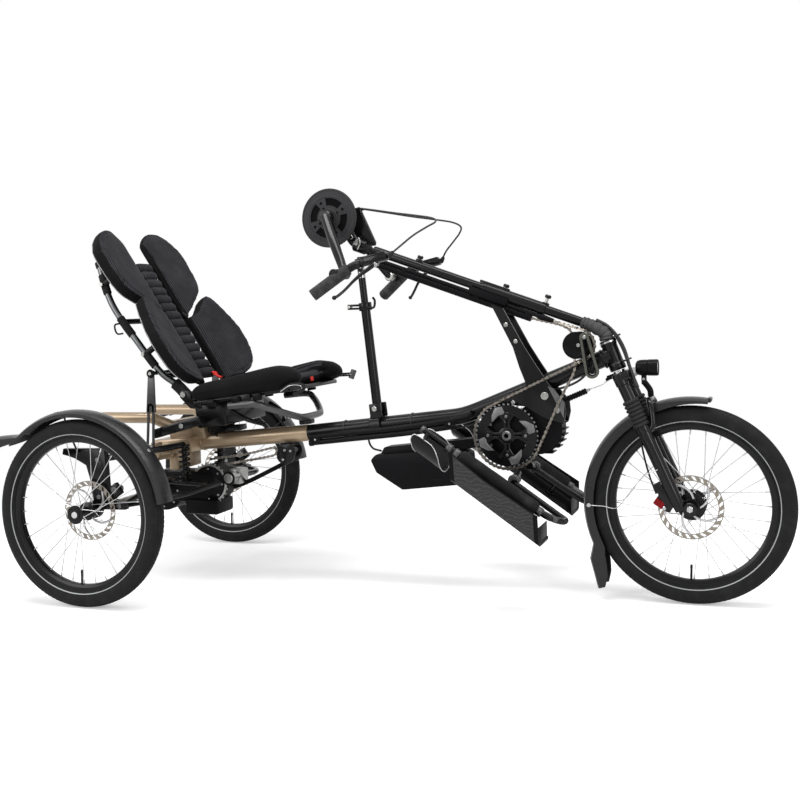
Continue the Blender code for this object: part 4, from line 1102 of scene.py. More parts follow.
shape = bmesh.new()
clamp = at(0.695, 0, 0.4215 + (0.695 - 0.486) * (0.471 - 0.4215) / (0.945 - 0.486))
along_beam = Vector((cos(radians(6.2)), 0, sin(radians(6.2))))
turning(shape, mirrored([(0.0228, -0.015), (0.03, -0.015), (0.0318, -0.013)]), clamp, along_beam, 56)
cap(shape, at(0.697, 0, 0.492), 0.0048, -0.031, 0.031, sides=20, part=1)
for s in (-1, 1):
    brick(shape, at(0.697, s * 0.0215, 0.486), (0.034, 0.01, 0.04), radians(6), 0.003)
    cap(shape, at(0.697, 0, 0.492), 0.0082, *span(s, 0.0268, 0.033), sides=6, part=1)
piece("post_clamp_cast", shape, [black_paint, zinc], "frame", "black_paint", ["post_clamp"])
post_foot, post_top = at(0.695, 0, 0.486), at(0.6568, 0, 0.895)
post = (post_top - post_foot).normalized()
collar = post_foot + post * 0.3
shape = bmesh.new()
pipe(shape, [post_foot, post_foot + post * 0.292, collar - post * 0.001], 0.013, 32)
turning(shape, [(0.0132, -0.022), (0.0172, -0.022), (0.0182, -0.02), (0.0182, -0.002), (0.0172, 0.0),
                (0.0132, 0.0)], collar, post, 40)
for z in (-0.016, -0.007):
    brick(shape, collar + Vector((-0.026, -0.012, z)), (0.04, 0.008, 0.006), 0.0, 0.001)
cap(shape, collar + Vector((-0.04, -0.012, -0.0115)), 0.0042, -0.01, 0.01, sides=20, part=1)
pipe(shape, curved([collar + Vector(p) for p in ((0.012, -0.013, -0.012), (0.032, -0.016, -0.014),
                                                 (0.036, -0.016, 0.004), (0.03, -0.016, 0.014))]),
     0.0032, 12)
piece("post_lower", shape, [black_paint, zinc], "frame", "black_paint", ["post_lower_tube"])
shape = bmesh.new()
pipe(shape, [collar + post * 0.0004, post_top - post * 0.042], 0.01, 36, 1)
pipe(shape, [post_top - post * 0.042, post_top], 0.0101, 36)
cap(shape, post_top, 0.0125, -0.01, 0.001, post, 32)
piece("post_upper", shape, [chrome, black_paint], "frame", "steel", ["post_upper_tube"])

# -------------------- fork
# A short-travel suspension fork: a cast crown, two chromed stanchions under rubber boots, cast
# lowers joined by an arch, a through axle, and a hydraulic caliper on the right leg.

gloss_black = painted("gloss black enamel", (0.003, 0.003, 0.003), (0.005, 0.005, 0.005), 0.14, 0.0,
                      0.2)
LEG_Y = 0.062
leg_top = at(1.374, 0, 0.57)
leg = (at(1.514, 0, 0.246) - leg_top).normalized()


def on_leg(distance, y=0.0):
    """A place on a fork leg's line, this far down from the crown."""
    return leg_top + leg * distance + left(y)


shape = bmesh.new()
brick(shape, head_low - head * 0.019 + Vector((0.0113, 0, 0.0041)), (0.04, 0.154, 0.025),
      radians(20), 0.007)
pipe(shape, [head_low - head * 0.001, head_low - head * 0.015], 0.016, 36, 1)
for s in (-1, 1):
    y = s * LEG_Y
    cap(shape, on_leg(0, y), 0.0165, -0.016, 0.016, leg, 36, 0, 0.002)
    cap(shape, on_leg(0, y), 0.01, -0.0185, -0.012, leg, 24, 1)
    pipe(shape, [on_leg(0.014, y), on_leg(0.14, y)], 0.0145, 36)
    steps = (0.128, 0.1285, 0.14, 0.146, 0.15, 0.176, 0.18, 0.3, 0.33, 0.353)
    sizes = (0.015, 0.0178, 0.0182, 0.0166, 0.0172, 0.0172, 0.0166, 0.016, 0.015, 0.0135)
    pipe(shape, [on_leg(d, y) for d in steps], sizes, 40)
    cap(shape, front_hub + left(y), 0.016, -0.01, 0.01, sides=36)
    cap(shape, front_hub + left(y + s * 0.0095), 0.0085, -0.0015, 0.0035, sides=6, part=1)
half_arch = [(1.436, -0.062, 0.437), (1.451, -0.061, 0.456), (1.448, -0.052, 0.49),
             (1.44, -0.036, 0.515)]
arch = [*half_arch, (1.44, 0.0, 0.517), *((x, -y, z) for x, y, z in reversed(half_arch))]
pipe(shape, curved([at(*p) for p in arch], 5), 0.0075, 20)
pipe(shape, [front_hub - left(0.074), front_hub + left(0.071)], 0.0055, 24, 1)
lever = curved([front_hub + Vector(p) for p in ((0, 0.073, 0), (0.012, 0.078, 0.008),
                                                (0.036, 0.076, 0.022), (0.052, 0.073, 0.03))])
pipe(shape, lever, 0.0036, 12, 1)
brick(shape, at(1.478, -0.052, 0.268), (0.046, 0.0165, 0.048), radians(-30), 0.005)
brick(shape, at(1.47, -0.06, 0.286), (0.06, 0.006, 0.02), radians(-60), 0.002)
anodised = bright("red anodised insert", (0.2, 0.014, 0.016), 0.36)
for dx, dz in ((-0.004, -0.018), (0.01, 0.014)):
    cap(shape, at(1.478 + dx, 0, 0.268 + dz), 0.0048, -0.063, -0.058, sides=12, part=1)
brick(shape, at(1.462, -0.0611, 0.262), (0.026, 0.0026, 0.018), radians(-35), 0.0012, 2)
pipe(shape, curved([at(1.455, -0.058, 0.285), at(1.44, -0.062, 0.33), at(1.428, -0.064, 0.38),
                    at(1.42, -0.06, 0.425)], 8), 0.0024, 12)
piece("fork_crown_and_legs", shape, [gloss_black, chrome, anodised], "fork", "black_paint", ["fork"])
for side, s in SIDES:
    shape = bmesh.new()
    boot, sizes = [], []
    for k in range(85):
        share = k / 84
        boot.append(on_leg(0.0552 + 0.0714 * share, s * LEG_Y))
        sizes.append(0.0162 + 0.0044 * abs(sin(pi * share * 7)) ** 0.7)
    pipe(shape, boot, sizes, 36)
    piece(side + "_fork_boot", shape, [rubber], "fork", "rubber", [side + "_fork_bellows"], 60)

# The front guard wraps the wheel from the fork's arch nearly to the ground, and ends in a soft
# flap. On each side a bent wire stay runs up to the fork's leg from a steel disc on the guard.

FRONT_GUARD_RADIUS = 0.2645
shape = bmesh.new()
line = []
for k in range(41):
    out = spoke(radians(80 + 123 * k / 40))
    line.append((front_hub + out * FRONT_GUARD_RADIUS, out, 0.004 + 0.016 * min(1.0, k / 14)))
last, turned, _ = line[-1]
flap_top = at(1.284, 0, 0.107)
for k in range(1, 7):
    share = k / 6
    middle = last.lerp(flap_top, min(1.0, share * 2))
    if share > 0.5:
        middle = flap_top.lerp(at(1.303, 0, 0.031), share * 2 - 1)
    out = turned.lerp(Vector((-1, 0, -0.3)), min(1.0, share * 1.5)).normalized()
    line.append((middle, out, 0.02 + 0.016 * sin(pi * share) - 0.006 * (share == 1)))
guard(shape, line, 0.03, 0.008)
brick(shape, at(1.44, 0, 0.503), (0.018, 0.024, 0.008), radians(20), 0.002)
brick(shape, line[0][0] + Vector((0.002, 0, 0.004)), (0.01, 0.044, 0.012), radians(-10), 0.003)
for s in (-1, 1):
    wire = [(1.281, 0.0325, 0.246), (1.32, 0.045, 0.247), (1.359, 0.06, 0.248),
            (1.399, 0.07, 0.299), (1.436, 0.075, 0.336), (1.462, 0.077, 0.348)]
    pipe(shape, curved([at(x, s * y, z) for x, y, z in wire], 6), 0.0011, 10, 1)
    cap(shape, at(1.281, 0, 0.246), 0.0055, *span(s, 0.03, 0.0355), sides=16, part=1)
piece("front_guard_moulded", shape, [guard_satin, steel], "fork", "black_plastic", ["front_guard"], 45)

# The headlight: a turned black housing with a seam, a fluted clear lens over a reflector, unlit,
# and a bent strip bracket bolted to the arch.

# Pale grey with a bright spot in each flute: painted reflections of the reflector behind, and painted glints.
lens, shader, place = finish("headlight lens", (0.62, 0.64, 0.66), 0.08, 0.25)
flutes_and_glints = place.cells(190.0, 0.0)
feed(shader, "Base Color", flutes_and_glints.step(0.05, 0.6).blend((0.8, 0.82, 0.84), (0.34, 0.36, 0.38)))
relief(shader, flutes_and_glints, 0.0008)
shape = bmesh.new()
lamp_at = at(1.404, 0, 0.596)
turning(shape, [(0.0, 0.0), (0.013, 0.0005), (0.0175, 0.004), (0.0195, 0.01), (0.0203, 0.018),
                (0.0203, 0.0295), (0.0196, 0.0305), (0.0208, 0.0315), (0.021, 0.053),
                (0.02, 0.056), (0.0185, 0.056), (0.018, 0.05), (0.0, 0.05)], lamp_at, (1, 0, 0),
        56)
turning(shape, [(0.0, 0.0495), (0.0182, 0.0495), (0.0182, 0.053), (0.014, 0.0545), (0.0, 0.0552)],
        lamp_at, (1, 0, 0), 48, 2)
brick(shape, at(1.424, 0, 0.568), (0.012, 0.018, 0.03), 0.0, 0.003)
pipe(shape, curved([at(1.424, 0, 0.56), at(1.438, 0, 0.54), at(1.44, 0, 0.5235)]), 0.0055, 16,
     flat=1.4)
cap(shape, at(1.424, 0, 0.568), 0.0045, -0.0115, 0.0115, sides=6, part=1)
piece("headlight_housing", shape, [gloss_plastic, zinc, lens], "fork", "black_plastic",
      ["headlight"], 30)

# A steering damper: a ribbed plastic cylinder on a tab under the main tube, and a thin bright rod
# to a foot on the fork's crown. The rod bends as the fork turns.

shape = bmesh.new()
damper, sizes = [], []
start, end = at(1.228, -0.004, 0.517), at(1.278, -0.004, 0.538)
for k in range(61):
    damper.append(start.lerp(end, k / 60))
    sizes.append(0.0062 + 0.0016 * (abs(sin(pi * k / 60 * 8)) > 0.45))
pipe(shape, damper, sizes, 24)
pipe(shape, [start - (end - start) * 0.3, start], 0.004, 16)
pipe(shape, [end, end + (end - start) * 0.16], 0.0034, 16, 1)
piece("steering_damper", shape, [plastic, zinc], "frame", "black_plastic")
tail = at(1.286, -0.004, 0.5415)
knee = at(1.318, -0.008, 0.553)
shape = bmesh.new()
rod_path = [tail.lerp(knee, k / 12) for k in range(13)]
rod_path += [knee.lerp(at(1.344, -0.012, 0.572), k / 8) for k in range(1, 9)]
pipe(shape, rod_path, 0.0014, 8)
rod = solid("damper_rod", shape, [chrome])
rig.blend(rod, "frame", "fork", tail, rod_path[-1])
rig.slot(rod, "steel")
shape = bmesh.new()
brick(shape, at(1.343, -0.012, 0.574), (0.02, 0.014, 0.012), radians(20), 0.002)
cap(shape, at(1.334, -0.012, 0.568), 0.0045, -0.008, 0.008, sides=16)
piece("damper_foot", shape, [plastic], "fork", "black_plastic")

# -------------------- crank head
# A cast swivel on the boom's rear end, a neck that leans back to the crank axle's shell, and a
# folded gusset that also guides the two brake hoses. Painted black, pinned with bright bolts.

crank_axle = pivots["crank_spin"]
shape = bmesh.new()
rear_end = on_boom(0.69)
cap(shape, rear_end, 0.02, -0.05, -0.011, boom_axis, 40, 0, 0.003)
pipe(shape, curved([on_boom(0.66), at(0.64, 0, 0.96), at(0.625, 0, 0.985), crank_axle]), 0.017, 36)
turning(shape, [(0.0095, -0.03), (0.02, -0.03), (0.021, -0.028), (0.021, 0.032), (0.02, 0.034),
                (0.0095, 0.034)], crank_axle, sides=48)
slab(shape, [(0.59, 1.035), (0.612, 1.0445), (0.656, 1.0478), (0.664, 1.044), (0.706, 0.95),
             (0.704, 0.941), (0.69, 0.94), (0.64, 0.975)], -0.006, 0.006, 0.0015)
# A grey strip on the gusset's near upper edge: a painted highlight.
pipe(shape, [at(0.663, -0.0048, 1.042), at(0.7035, -0.0048, 0.951)], 0.0013, 8, 2)
for s in (-1, 1):
    cap(shape, at(0.655, 0, 0.95), 0.0085, *span(s, 0.0165, 0.0225), sides=6, part=1)
    cap(shape, at(0.64, 0, 0.966), 0.006, *span(s, 0.015, 0.0215), sides=20, part=1)
    cap(shape, at(0.663, s * 0.0125, 1.044), 0.0042, -0.004, 0.004, (1, 0, 0), 20)
pipe(shape, curved([at(0.652, -0.019, 0.944), at(0.664, -0.024, 0.962), at(0.668, -0.024, 0.948),
                    at(0.659, -0.02, 0.932)]), 0.0026, 12, 1)
piece("crank_head_casting", shape, [black_paint, zinc, painted_edge_highlight], "crank_head", "black_paint",
      ["crank_head"])

# -------------------- cranks
# A steel axle with two forged alloy arms, lacquered black, that splay out to the handles' pins; a
# flat plastic guard with four windows is bolted to the right arm's spider.

arm_down = Vector((sin(radians(30)), 0, -cos(radians(30))))
arm_end = crank_axle + arm_down * 0.186
shape = bmesh.new()
pipe(shape, [crank_axle - left(0.076), crank_axle + left(0.076)], 0.0085, 28, 1)
for s in (-1, 1):
    boss = crank_axle + left(s * 0.066)
    eye = arm_end + left(s * 0.166)
    arm, sizes = [], []
    for k in range(17):
        share = k / 16
        bow = sin(pi * min(1.0, share * 1.25)) * 0.0035
        arm.append(boss.lerp(eye, share) + left(s * bow))
        sizes.append(0.0165 - 0.0055 * share)
    pipe(shape, arm, sizes, 36)
    cap(shape, boss, 0.019, -0.012, 0.012, sides=40, soft=0.003)
    cap(shape, boss, 0.0095, *span(s, 0.011, 0.0132), sides=8, part=1 if s > 0 else 0)
    cap(shape, eye, 0.013, -0.01, 0.01, sides=36, soft=0.002, part=0 if s < 0 else 1)
    pipe(shape, [eye, arm_end + left(s * 0.234)], 0.006, 24, 1)
piece("crank_arms_forged", shape, [gloss_black, zinc], "cranks", "black_paint", ["cranks"])


def windowed(shape, centre, low, high, radii, steps, open_at, part=0):
    """A flat disc between two depths on a polar grid, left open where open_at(radius, degrees)."""
    for inner, outer in zip(radii, radii[1:]):
        for j in range(steps):
            if open_at((inner + outer) / 2, 360 * (j + 0.5) / steps):
                continue
            places = []
            for r, k in ((inner, j), (outer, j), (outer, j + 1), (inner, j + 1)):
                places.append(centre + spoke(2 * pi * k / steps) * r)
            skin(shape, [[place + left(y) for place in places] for y in (low, high)], part)


def guard_window(radius, turn):
    """Whether a spot lies in one of the guard's four windows."""
    return 0.034 < radius < 0.0555 and abs((turn - 72) % 90 - 90 * ((turn - 72) % 90 > 45)) < 29


disc_plastic = moulded("satin disc plastic", (0.036, 0.036, 0.038), 0.46, 420.0, 0.00008)
shape = bmesh.new()
radii = [0.009, 0.026, 0.0345, 0.045, 0.055, 0.064, 0.077]
windowed(shape, crank_axle, -0.049, -0.0465, radii, 144, guard_window)
# A near-black disc behind the guard's windows: painted shade, so the windows read dark.
cap(shape, crank_axle, 0.06, -0.0462, -0.0425, sides=60, part=2)
turning(shape, [(0.0765, -0.05), (0.0795, -0.0496), (0.081, -0.048), (0.081, -0.044),
                (0.0795, -0.0425), (0.0765, -0.0425)], crank_axle, sides=120)
turning(shape, [(0.059, -0.0502), (0.064, -0.0498), (0.064, -0.047), (0.059, -0.047)], crank_axle,
        sides=120)
turning(shape, [(0.009, -0.0505), (0.026, -0.05), (0.0275, -0.0485), (0.0275, -0.042),
                (0.009, -0.042)], crank_axle, sides=80)
for k in range(4):
    out = spoke(radians(28 + 90 * k))
    cap(shape, crank_axle + out * 0.047, 0.0042, -0.051, -0.0445, sides=6, part=2)
    cap(shape, crank_axle + out * 0.047, 0.0075, -0.0492, -0.044, sides=28)
    # Small near-black dots on the face: painted shade standing in for small holes.
    cap(shape, crank_axle + out * 0.03, 0.0028, -0.0508, -0.05, sides=16, part=2, soft=0.0002)
# Near-black matte used as painted shade; the hex bolt heads take it too.
painted_shade_and_bolt_black = moulded("dark recess", (0.003, 0.003, 0.003), 0.8)
piece("crank_guard_disc", shape, [disc_plastic, zinc, painted_shade_and_bolt_black], "cranks", "black_plastic",
      ["crank_guard"], 30)

# -------------------- handles
# Each handle turns on the crank's pin: a finely ribbed rubber grip, a bar, a split clamp with two
# bolts, a hydraulic master cylinder with a screwed lid, and a forged two-finger lever.

grip_rubber, shader, place = finish("grip rubber", (0.045, 0.045, 0.045), 0.62, shine=0.22)
rubbed = place.noise(55.0, 4.0).step(0.4, 0.75)
feed(shader, "Base Color", rubbed.blend((0.024, 0.024, 0.024), (0.052, 0.052, 0.051)))
relief(shader, place.noise(900.0), 0.0002)
GRIP_RIBS = 34
LEVER = [(0.792, 0.22, 0.884), (0.772, 0.2275, 0.868), (0.755, 0.236, 0.855), (0.738, 0.248, 0.838),
         (0.722, 0.262, 0.818), (0.708, 0.276, 0.803), (0.7, 0.284, 0.7975)]
for side, s in SIDES:
    pivot = arm_end + left(s * 0.23)
    shape = bmesh.new()
    low, high = at(0.625, s * 0.253, 0.805), at(0.713, s * 0.218, 0.871)
    along, length = (high - low).normalized(), (high - low).length
    path, sizes = [low, low + along * 0.0005], [0.012, 0.015]
    for k in range(GRIP_RIBS * 4 + 1):
        path.append(low + along * (0.002 + (length - 0.006) * k / (GRIP_RIBS * 4)))
        sizes.append(0.0162 if k % 4 in (1, 2) else 0.0156)
    path += [high - along * 0.003, high]
    sizes += [0.0165, 0.014]
    pipe(shape, path, sizes, 32)
    pipe(shape, curved([at(0.705, s * 0.221, 0.865), at(0.73, s * 0.2165, 0.879),
                        at(0.77, s * 0.2155, 0.889)]), 0.011, 32, 1)
    cap(shape, pivot, 0.013, *((-0.026, 0.012) if s > 0 else (-0.012, 0.026)), sides=36, part=2)
    cap(shape, pivot, 0.0065, *((-0.0285, -0.02) if s > 0 else (0.02, 0.0285)), sides=6, part=3)
    bar = (at(0.823, s * 0.215, 0.8995) - at(0.756, s * 0.2155, 0.8855)).normalized()
    lean = atan2(bar.z, bar.x)
    cap(shape, at(0.742, s * 0.2162, 0.8822), 0.0145, -0.007, 0.007, bar, 36, 2, 0.0015)
    brick(shape, at(0.745, s * 0.216, 0.869), (0.012, 0.012, 0.014), lean, 0.002, 2)
    for dx in (-0.0035, 0.0045):
        cap(shape, at(0.744 + dx, 0, 0.8725), 0.0026, s * 0.216 - 0.0095, s * 0.216 + 0.0095, sides=12,
            part=3)
    brick(shape, at(0.789, s * 0.2152, 0.8928), (0.064, 0.026, 0.021), lean, 0.0045, 2)
    brick(shape, at(0.787, s * 0.2152, 0.9035), (0.056, 0.023, 0.006), lean, 0.0018, 2)
    for dx in (-0.02, 0.02):
        cap(shape, at(0.787 + dx, s * 0.2152, 0.9035 + dx * 0.21), 0.0026, 0.0015, 0.0044,
            (-0.21, 0, 1), 16, 3, 0.0004)
    cap(shape, at(0.79, s * 0.219, 0.8795), 0.0062, -0.0085, 0.0085, (0, 1, 0.2), 28, 3)
    lever = curved([at(x, s * y, z) for x, y, z in LEVER])
    pipe(shape, lever, [0.0062 - 0.0024 * min(1.0, k / 20) for k in range(len(lever))], 20, 2)
    turning(shape, mirrored([(0.0, -0.0058), (0.003, -0.005), (0.0052, -0.0028)], (0.0058, 0.0)),
            lever[-1], sides=24, part=2)
    hose_start = at(0.8262, s * 0.2138, 0.902)
    hose_way = (at(0.847, s * 0.189, 0.925) - hose_start).normalized()
    boot = curved([at(0.8215, s * 0.215, 0.8985), hose_start, hose_start + hose_way * 0.012], 15)
    sizes = [0.0078 - 0.0036 * k / 30 + 0.0006 * (abs(sin(pi * 7 * (k / 30))) > 0.5)
             for k in range(31)]
    pipe(shape, boot, sizes, 20, 4)
    piece(side + "_handle_and_lever", shape, [grip_rubber, black_paint, gloss_black, zinc, rubber],
          side + "_handle", "rubber", [side + "_handle"])

# -------------------- brake hoses
# Nylon-sheathed hydraulic hose, 5 mm, in a free loop from each brake lever to the crank head's
# guide. It bends with the crank, so each hose is two lengths that meet where it follows the crank.

sheath, shader, place = finish("hose sheath", (0.02, 0.0205, 0.021), 0.42, shine=0.3)
feed(shader, "Roughness", 0.34 + place.noise(120.0) * 0.16)
relief(shader, place.noise(1300.0), 0.00008)
HOSE_ROUTE = [(0.8262, 0.2138, 0.902), (0.847, 0.189, 0.925), (0.876, 0.171, 0.951),
              (0.903, 0.144, 0.972), (0.917, 0.112, 0.987), (0.9, 0.09, 0.999),
              (0.852, 0.084, 1.009), (0.79, 0.072, 1.02), (0.725, 0.046, 1.033),
              (0.668, 0.0125, 1.044)]
# Where a hose's two lengths meet: the fifth place of its route, with eight steps to each.
join = 4 * 8
for side, s in SIDES:
    way = curved([at(x, s * y, z) for x, y, z in HOSE_ROUTE], 8)
    for half, line, bodies in (("lever_end", way[:join + 1], (side + "_handle", "cranks")),
                               ("head_end", way[join:], ("cranks", "crank_head"))):
        shape = bmesh.new()
        pipe(shape, line, 0.0025, 14)
        hose = solid(f"{side}_hose_{half}", shape, [sheath])
        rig.blend(hose, *bodies, line[0], line[-1])
        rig.slot(hose, "rubber")
        length = sum((b - a).length for a, b in zip(line, line[1:]))
        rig.cord(hose, line[0], length, 0.005, "object", "medium", "loose", path=line)
        if half == "lever_end":
            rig.replaces(hose, side + "_brake_hose")

# -------------------- leg supports
# On each side a bent steel bar carries a padded shin roll and a calf cup: nitrile foam over the bar,
# knurled collars at its ends, and a pressed cup, padded inside, with a bright bound rim.

foam, shader, place = finish("foam sleeve", (0.022, 0.022, 0.023), 0.88, shine=0.15)
scuffs = place.noise(30.0, 4.0).step(0.4, 0.8)
feed(shader, "Base Color", scuffs.blend((0.012, 0.012, 0.0125), (0.03, 0.03, 0.031)))
relief(shader, place.cells(520.0), 0.0003)
# Dark steel with small bright spots on the knurl's diamonds: painted glints.
knurl_and_glints, shader, place = finish("knurled steel", (0.12, 0.12, 0.12), 0.36, 0.9)
diamonds_and_glints = place.cells(620.0, 0.15)
feed(shader, "Base Color", diamonds_and_glints.step(0.1, 0.6).blend((0.24, 0.24, 0.24), (0.03, 0.03, 0.03)))
relief(shader, diamonds_and_glints, 0.0006)
LEG_BAR = [(0.892, 0.19, 0.456), (1.186, 0.19, 0.257), (1.222, 0.18, 0.236), (1.24, 0.16, 0.227),
           (1.241, 0.138, 0.227), (1.222, 0.127, 0.236), (1.11, 0.12, 0.312)]
floor_slope = atan2(0.338 - 0.184, 1.2 - 0.982)
for side, s in SIDES:
    shape = bmesh.new()
    bar = [at(x, s * y, z) for x, y, z in LEG_BAR]
    pipe(shape, curved([bar[0], bar[0].lerp(bar[1], 0.5), *bar[1:]], 8), 0.008, 28)
    # The bar's front bend takes the knurled steel and its painted glints.
    pipe(shape, curved([bar[1].lerp(bar[2], 0.12), bar[2], bar[3]], 6), 0.0084, 28, 2)
    ends = at(0.99, s * 0.19, 0.3896), at(1.182, s * 0.19, 0.2597)
    run = (ends[1] - ends[0]).normalized()
    steps = [0.0, 0.0008, 0.004, 0.01] + [0.01 + 0.2118 * k / 12 for k in range(1, 13)]
    steps += [0.2268, 0.231, 0.2318]
    sizes = [0.012, 0.015, 0.0172, 0.018] + [0.018 - 0.0004 * (k % 3 == 1) for k in range(1, 13)]
    sizes += [0.0176, 0.0155, 0.012]
    pipe(shape, [ends[0] + run * d for d in steps], sizes, 40, 1)
    for middle in (ends[0] - run * 0.01, ends[0] - run * 0.034, ends[1] + run * 0.0075):
        cap(shape, middle, 0.0118, -0.008, 0.008, run, 36, 2, 0.0012)
    cap(shape, at(0.892, s * 0.19, 0.456), 0.0095, -0.004, 0.006, run, 28, 2)
    pipe(shape, [at(1.11, s * 0.125, 0.312), at(1.105, s * 0.0645, 0.33)], 0.01, 28)
    cap(shape, at(1.108, s * 0.1, 0.3195), 0.013, -0.008, 0.008, (0, 1, 0), 32, 0, 0.002)
    cap(shape, at(1.108, s * 0.118, 0.3195), 0.015, -0.006, 0.004, (0, 1, 0), 32, 2, 0.002)
    pipe(shape, [at(0.905, s * 0.188, 0.4465), at(0.905, s * 0.2228, 0.43)], 0.006, 20)
    for x, z in ((1.03, 0.3047), (1.13, 0.2341)):
        foot = at(x, s * 0.19, z)
        lift = Vector((sin(floor_slope), 0, cos(floor_slope)))
        pipe(shape, [foot + lift * 0.001, foot + lift * 0.045], 0.006, 20)
        cap(shape, foot, 0.012, 0.001, 0.004, lift, 24)
        cap(shape, foot, 0.006, 0.0035, 0.0075, lift, 6, 3)
    cup, rim = [], ([], [])
    for k in range(17):
        share = -1 + k / 8
        reach = radians(100 - 26 * abs(share) ** 5)
        middle = at(0.905 + share * 0.045 * 0.8, s * 0.165, 0.425 - share * 0.045 * 0.54)
        turns = [reach * (-1 + j / 12) for j in range(25)]
        across = [(0.0595 * sin(t), -0.0545 * cos(t)) for t in turns]
        outer = [middle + Vector((0, y, z)) for y, z in across]
        inner = [middle + Vector((0, y * 0.945, z * 0.945)) for y, z in reversed(across)]
        cup.append(outer + inner)
        rim[0].append(outer[0])
        rim[1].append(outer[-1])
    skin(shape, cup)
    edge = [*cup[0][:25], *rim[1], *cup[-1][24::-1], *reversed(rim[0])]
    pipe(shape, edge, 0.0012, 8, 3)
    pad = []
    for k in range(13):
        share = (-1 + k / 6) * 0.93
        reach = radians(88 - 20 * abs(share) ** 5)
        middle = at(0.905 + share * 0.045 * 0.8, s * 0.165, 0.425 - share * 0.045 * 0.54)
        turns = [reach * (-1 + j / 12) for j in range(25)]
        thick = 0.86 if abs(share) < 0.8 else 0.9
        pad.append([middle + Vector((0, 0.0595 * sin(t) * size, -0.0545 * cos(t) * size))
                    for size, way in ((0.95, turns), (thick, turns[::-1])) for t in way])
    skin(shape, pad, 1)
    piece(side + "_leg_bar_and_cup", shape, [black_paint, foam, knurl_and_glints, steel], "frame", "black_paint",
          [side + "_leg_support"], 50)

# Each foot rests in a folded shell of laminated sheet: a floor and an outer wall, with a hemmed lip
# and coated cloth bonded to the outside, dark grey with faint lines that wander over it.

wavy, shader, place = finish("wavy coated cloth", (0.03, 0.03, 0.031), 0.62, shine=0.25)
waves = place.node("TexWave", {"bands_direction": "Z"}, {"Vector": place, "Scale": 30.0,
                   "Distortion": 14.0, "Detail": 3.0, "Detail Scale": 0.9}, output=1)
feed(shader, "Base Color", waves.step(0.55, 0.98).blend((0.026, 0.026, 0.027), (0.04, 0.039, 0.041)))
feed(shader, "Roughness", 0.7 - waves * 0.16)
relief(shader, waves + place.noise(800.0) * 0.3, 0.0003)
SHELL_REAR, SHELL_LENGTH = 0.982, 0.218
SHELL_FLOOR, SHELL_FALL = 0.338, 0.154
for side, s in SIDES:
    shape = bmesh.new()
    stations = []
    for k in range(21):
        share = k / 20
        x = SHELL_REAR + SHELL_LENGTH * share
        floor_z = SHELL_FLOOR - SHELL_FALL * share
        rise = 0.059 + 0.012 * share + 0.012 * max(0.0, 1 - share / 0.4)
        section = [(0.1505, 0.0), (0.176, 0.0), (0.21, 0.0), (0.24, 0.0002), (0.2465, 0.0012),
                   (0.2505, 0.006)]
        section += [(0.2505 + 0.01 * t, 0.006 + (rise - 0.006) * t) for t in (0.25, 0.5, 0.75, 1.0)]
        under = [(y + 0.0034 * (z > 0.003), z - 0.004 * (z < rise * 0.9)) for y, z in reversed(section)]
        stations.append([at(x, s * y, floor_z + z) for y, z in section + under])
    skin(shape, stations)
    pipe(shape, [ring[9] + Vector((0, s * 0.0016, 0.0005)) for ring in stations], 0.0022, 12)
    pipe(shape, [ring[0] for ring in stations], 0.0022, 12)
    cover = []
    for ring in stations[1:-1]:
        cover.append([ring[j] + Vector((0, s * 0.0006, -0.0003)) for j in (10, 11, 12, 13, 14)]
                     + [ring[j] + left(-s * 0.0006) for j in (14, 13, 12, 11, 10)])
    skin(shape, cover, 1)
    for x, low, high in ((0.984, 0.002, 0.05), (1.197, 0.002, 0.04)):
        floor_z = SHELL_FLOOR - SHELL_FALL * (x - SHELL_REAR) / SHELL_LENGTH
        brick(shape, at(x, s * 0.1985, floor_z + (low + high) / 2), (0.0024, 0.094, high - low), 0.0,
              0.001)
    piece(side + "_foot_shell", shape, [plastic, wavy], "frame", "black_plastic",
          [side + "_foot_trough"], 50)

# -------------------- seat frame
# A pressed steel pan under the cushion, two side clamps, a grey tube loop in front that helps the
# rider up, ears for the backrest's pivot, and a welded foot on the rear frame.

satin_grey = painted("satin grey tube", (0.045, 0.045, 0.046), (0.065, 0.065, 0.066), 0.36, 0.3, 0.2)
seat_rear = at(0.209, 0, 0.525)
SEAT_TILT = radians(7.4)


def seat_place(along, across, up):
    """A place on the seat: forward from its rear, to the left, and square to the pan."""
    c, s = cos(SEAT_TILT), sin(SEAT_TILT)
    return seat_rear + Vector((along * c - up * s, across, along * s + up * c))


shape = bmesh.new()
pan = [(0.0, -0.169), (0.298, -0.159), (0.298, 0.159), (0.0, 0.169)]
softened(shape, skin(shape, [[seat_place(a, b, h) for a, b in pan] for h in (-0.0122, -0.0006)]), 0.003)
half_loop = [(0.325, 0.172, 0.5135), (0.4, 0.172, 0.5185), (0.432, 0.15, 0.5065),
             (0.464, 0.11, 0.488), (0.488, 0.07, 0.4735), (0.494, 0.045, 0.471)]
loop = [at(x, -y, z) for x, y, z in half_loop] + [at(0.4945, 0, 0.4702)]
loop += [at(x, y, z) for x, y, z in reversed(half_loop)]
pipe(shape, curved(loop, 8), 0.0095, 36, 2)
for s in (-1, 1):
    brick(shape, at(0.362, s * 0.165, 0.5285), (0.06, 0.014, 0.03), SEAT_TILT, 0.003)
    for along in (0.06, 0.14, 0.205):
        clip = seat_place(along, s * 0.1735, -0.013)
        brick(shape, clip, (0.026, 0.012, 0.02), SEAT_TILT, 0.003, 3)
    slab(shape, [(0.168, 0.556), (0.192, 0.556), (0.204, 0.53), (0.235, 0.52), (0.235, 0.505),
                 (0.2, 0.505), (0.168, 0.536)], *span(s, 0.161, 0.168), 0.0015)
brick(shape, at(0.477, 0, 0.456), (0.036, 0.032, 0.0205), radians(5), 0.003)
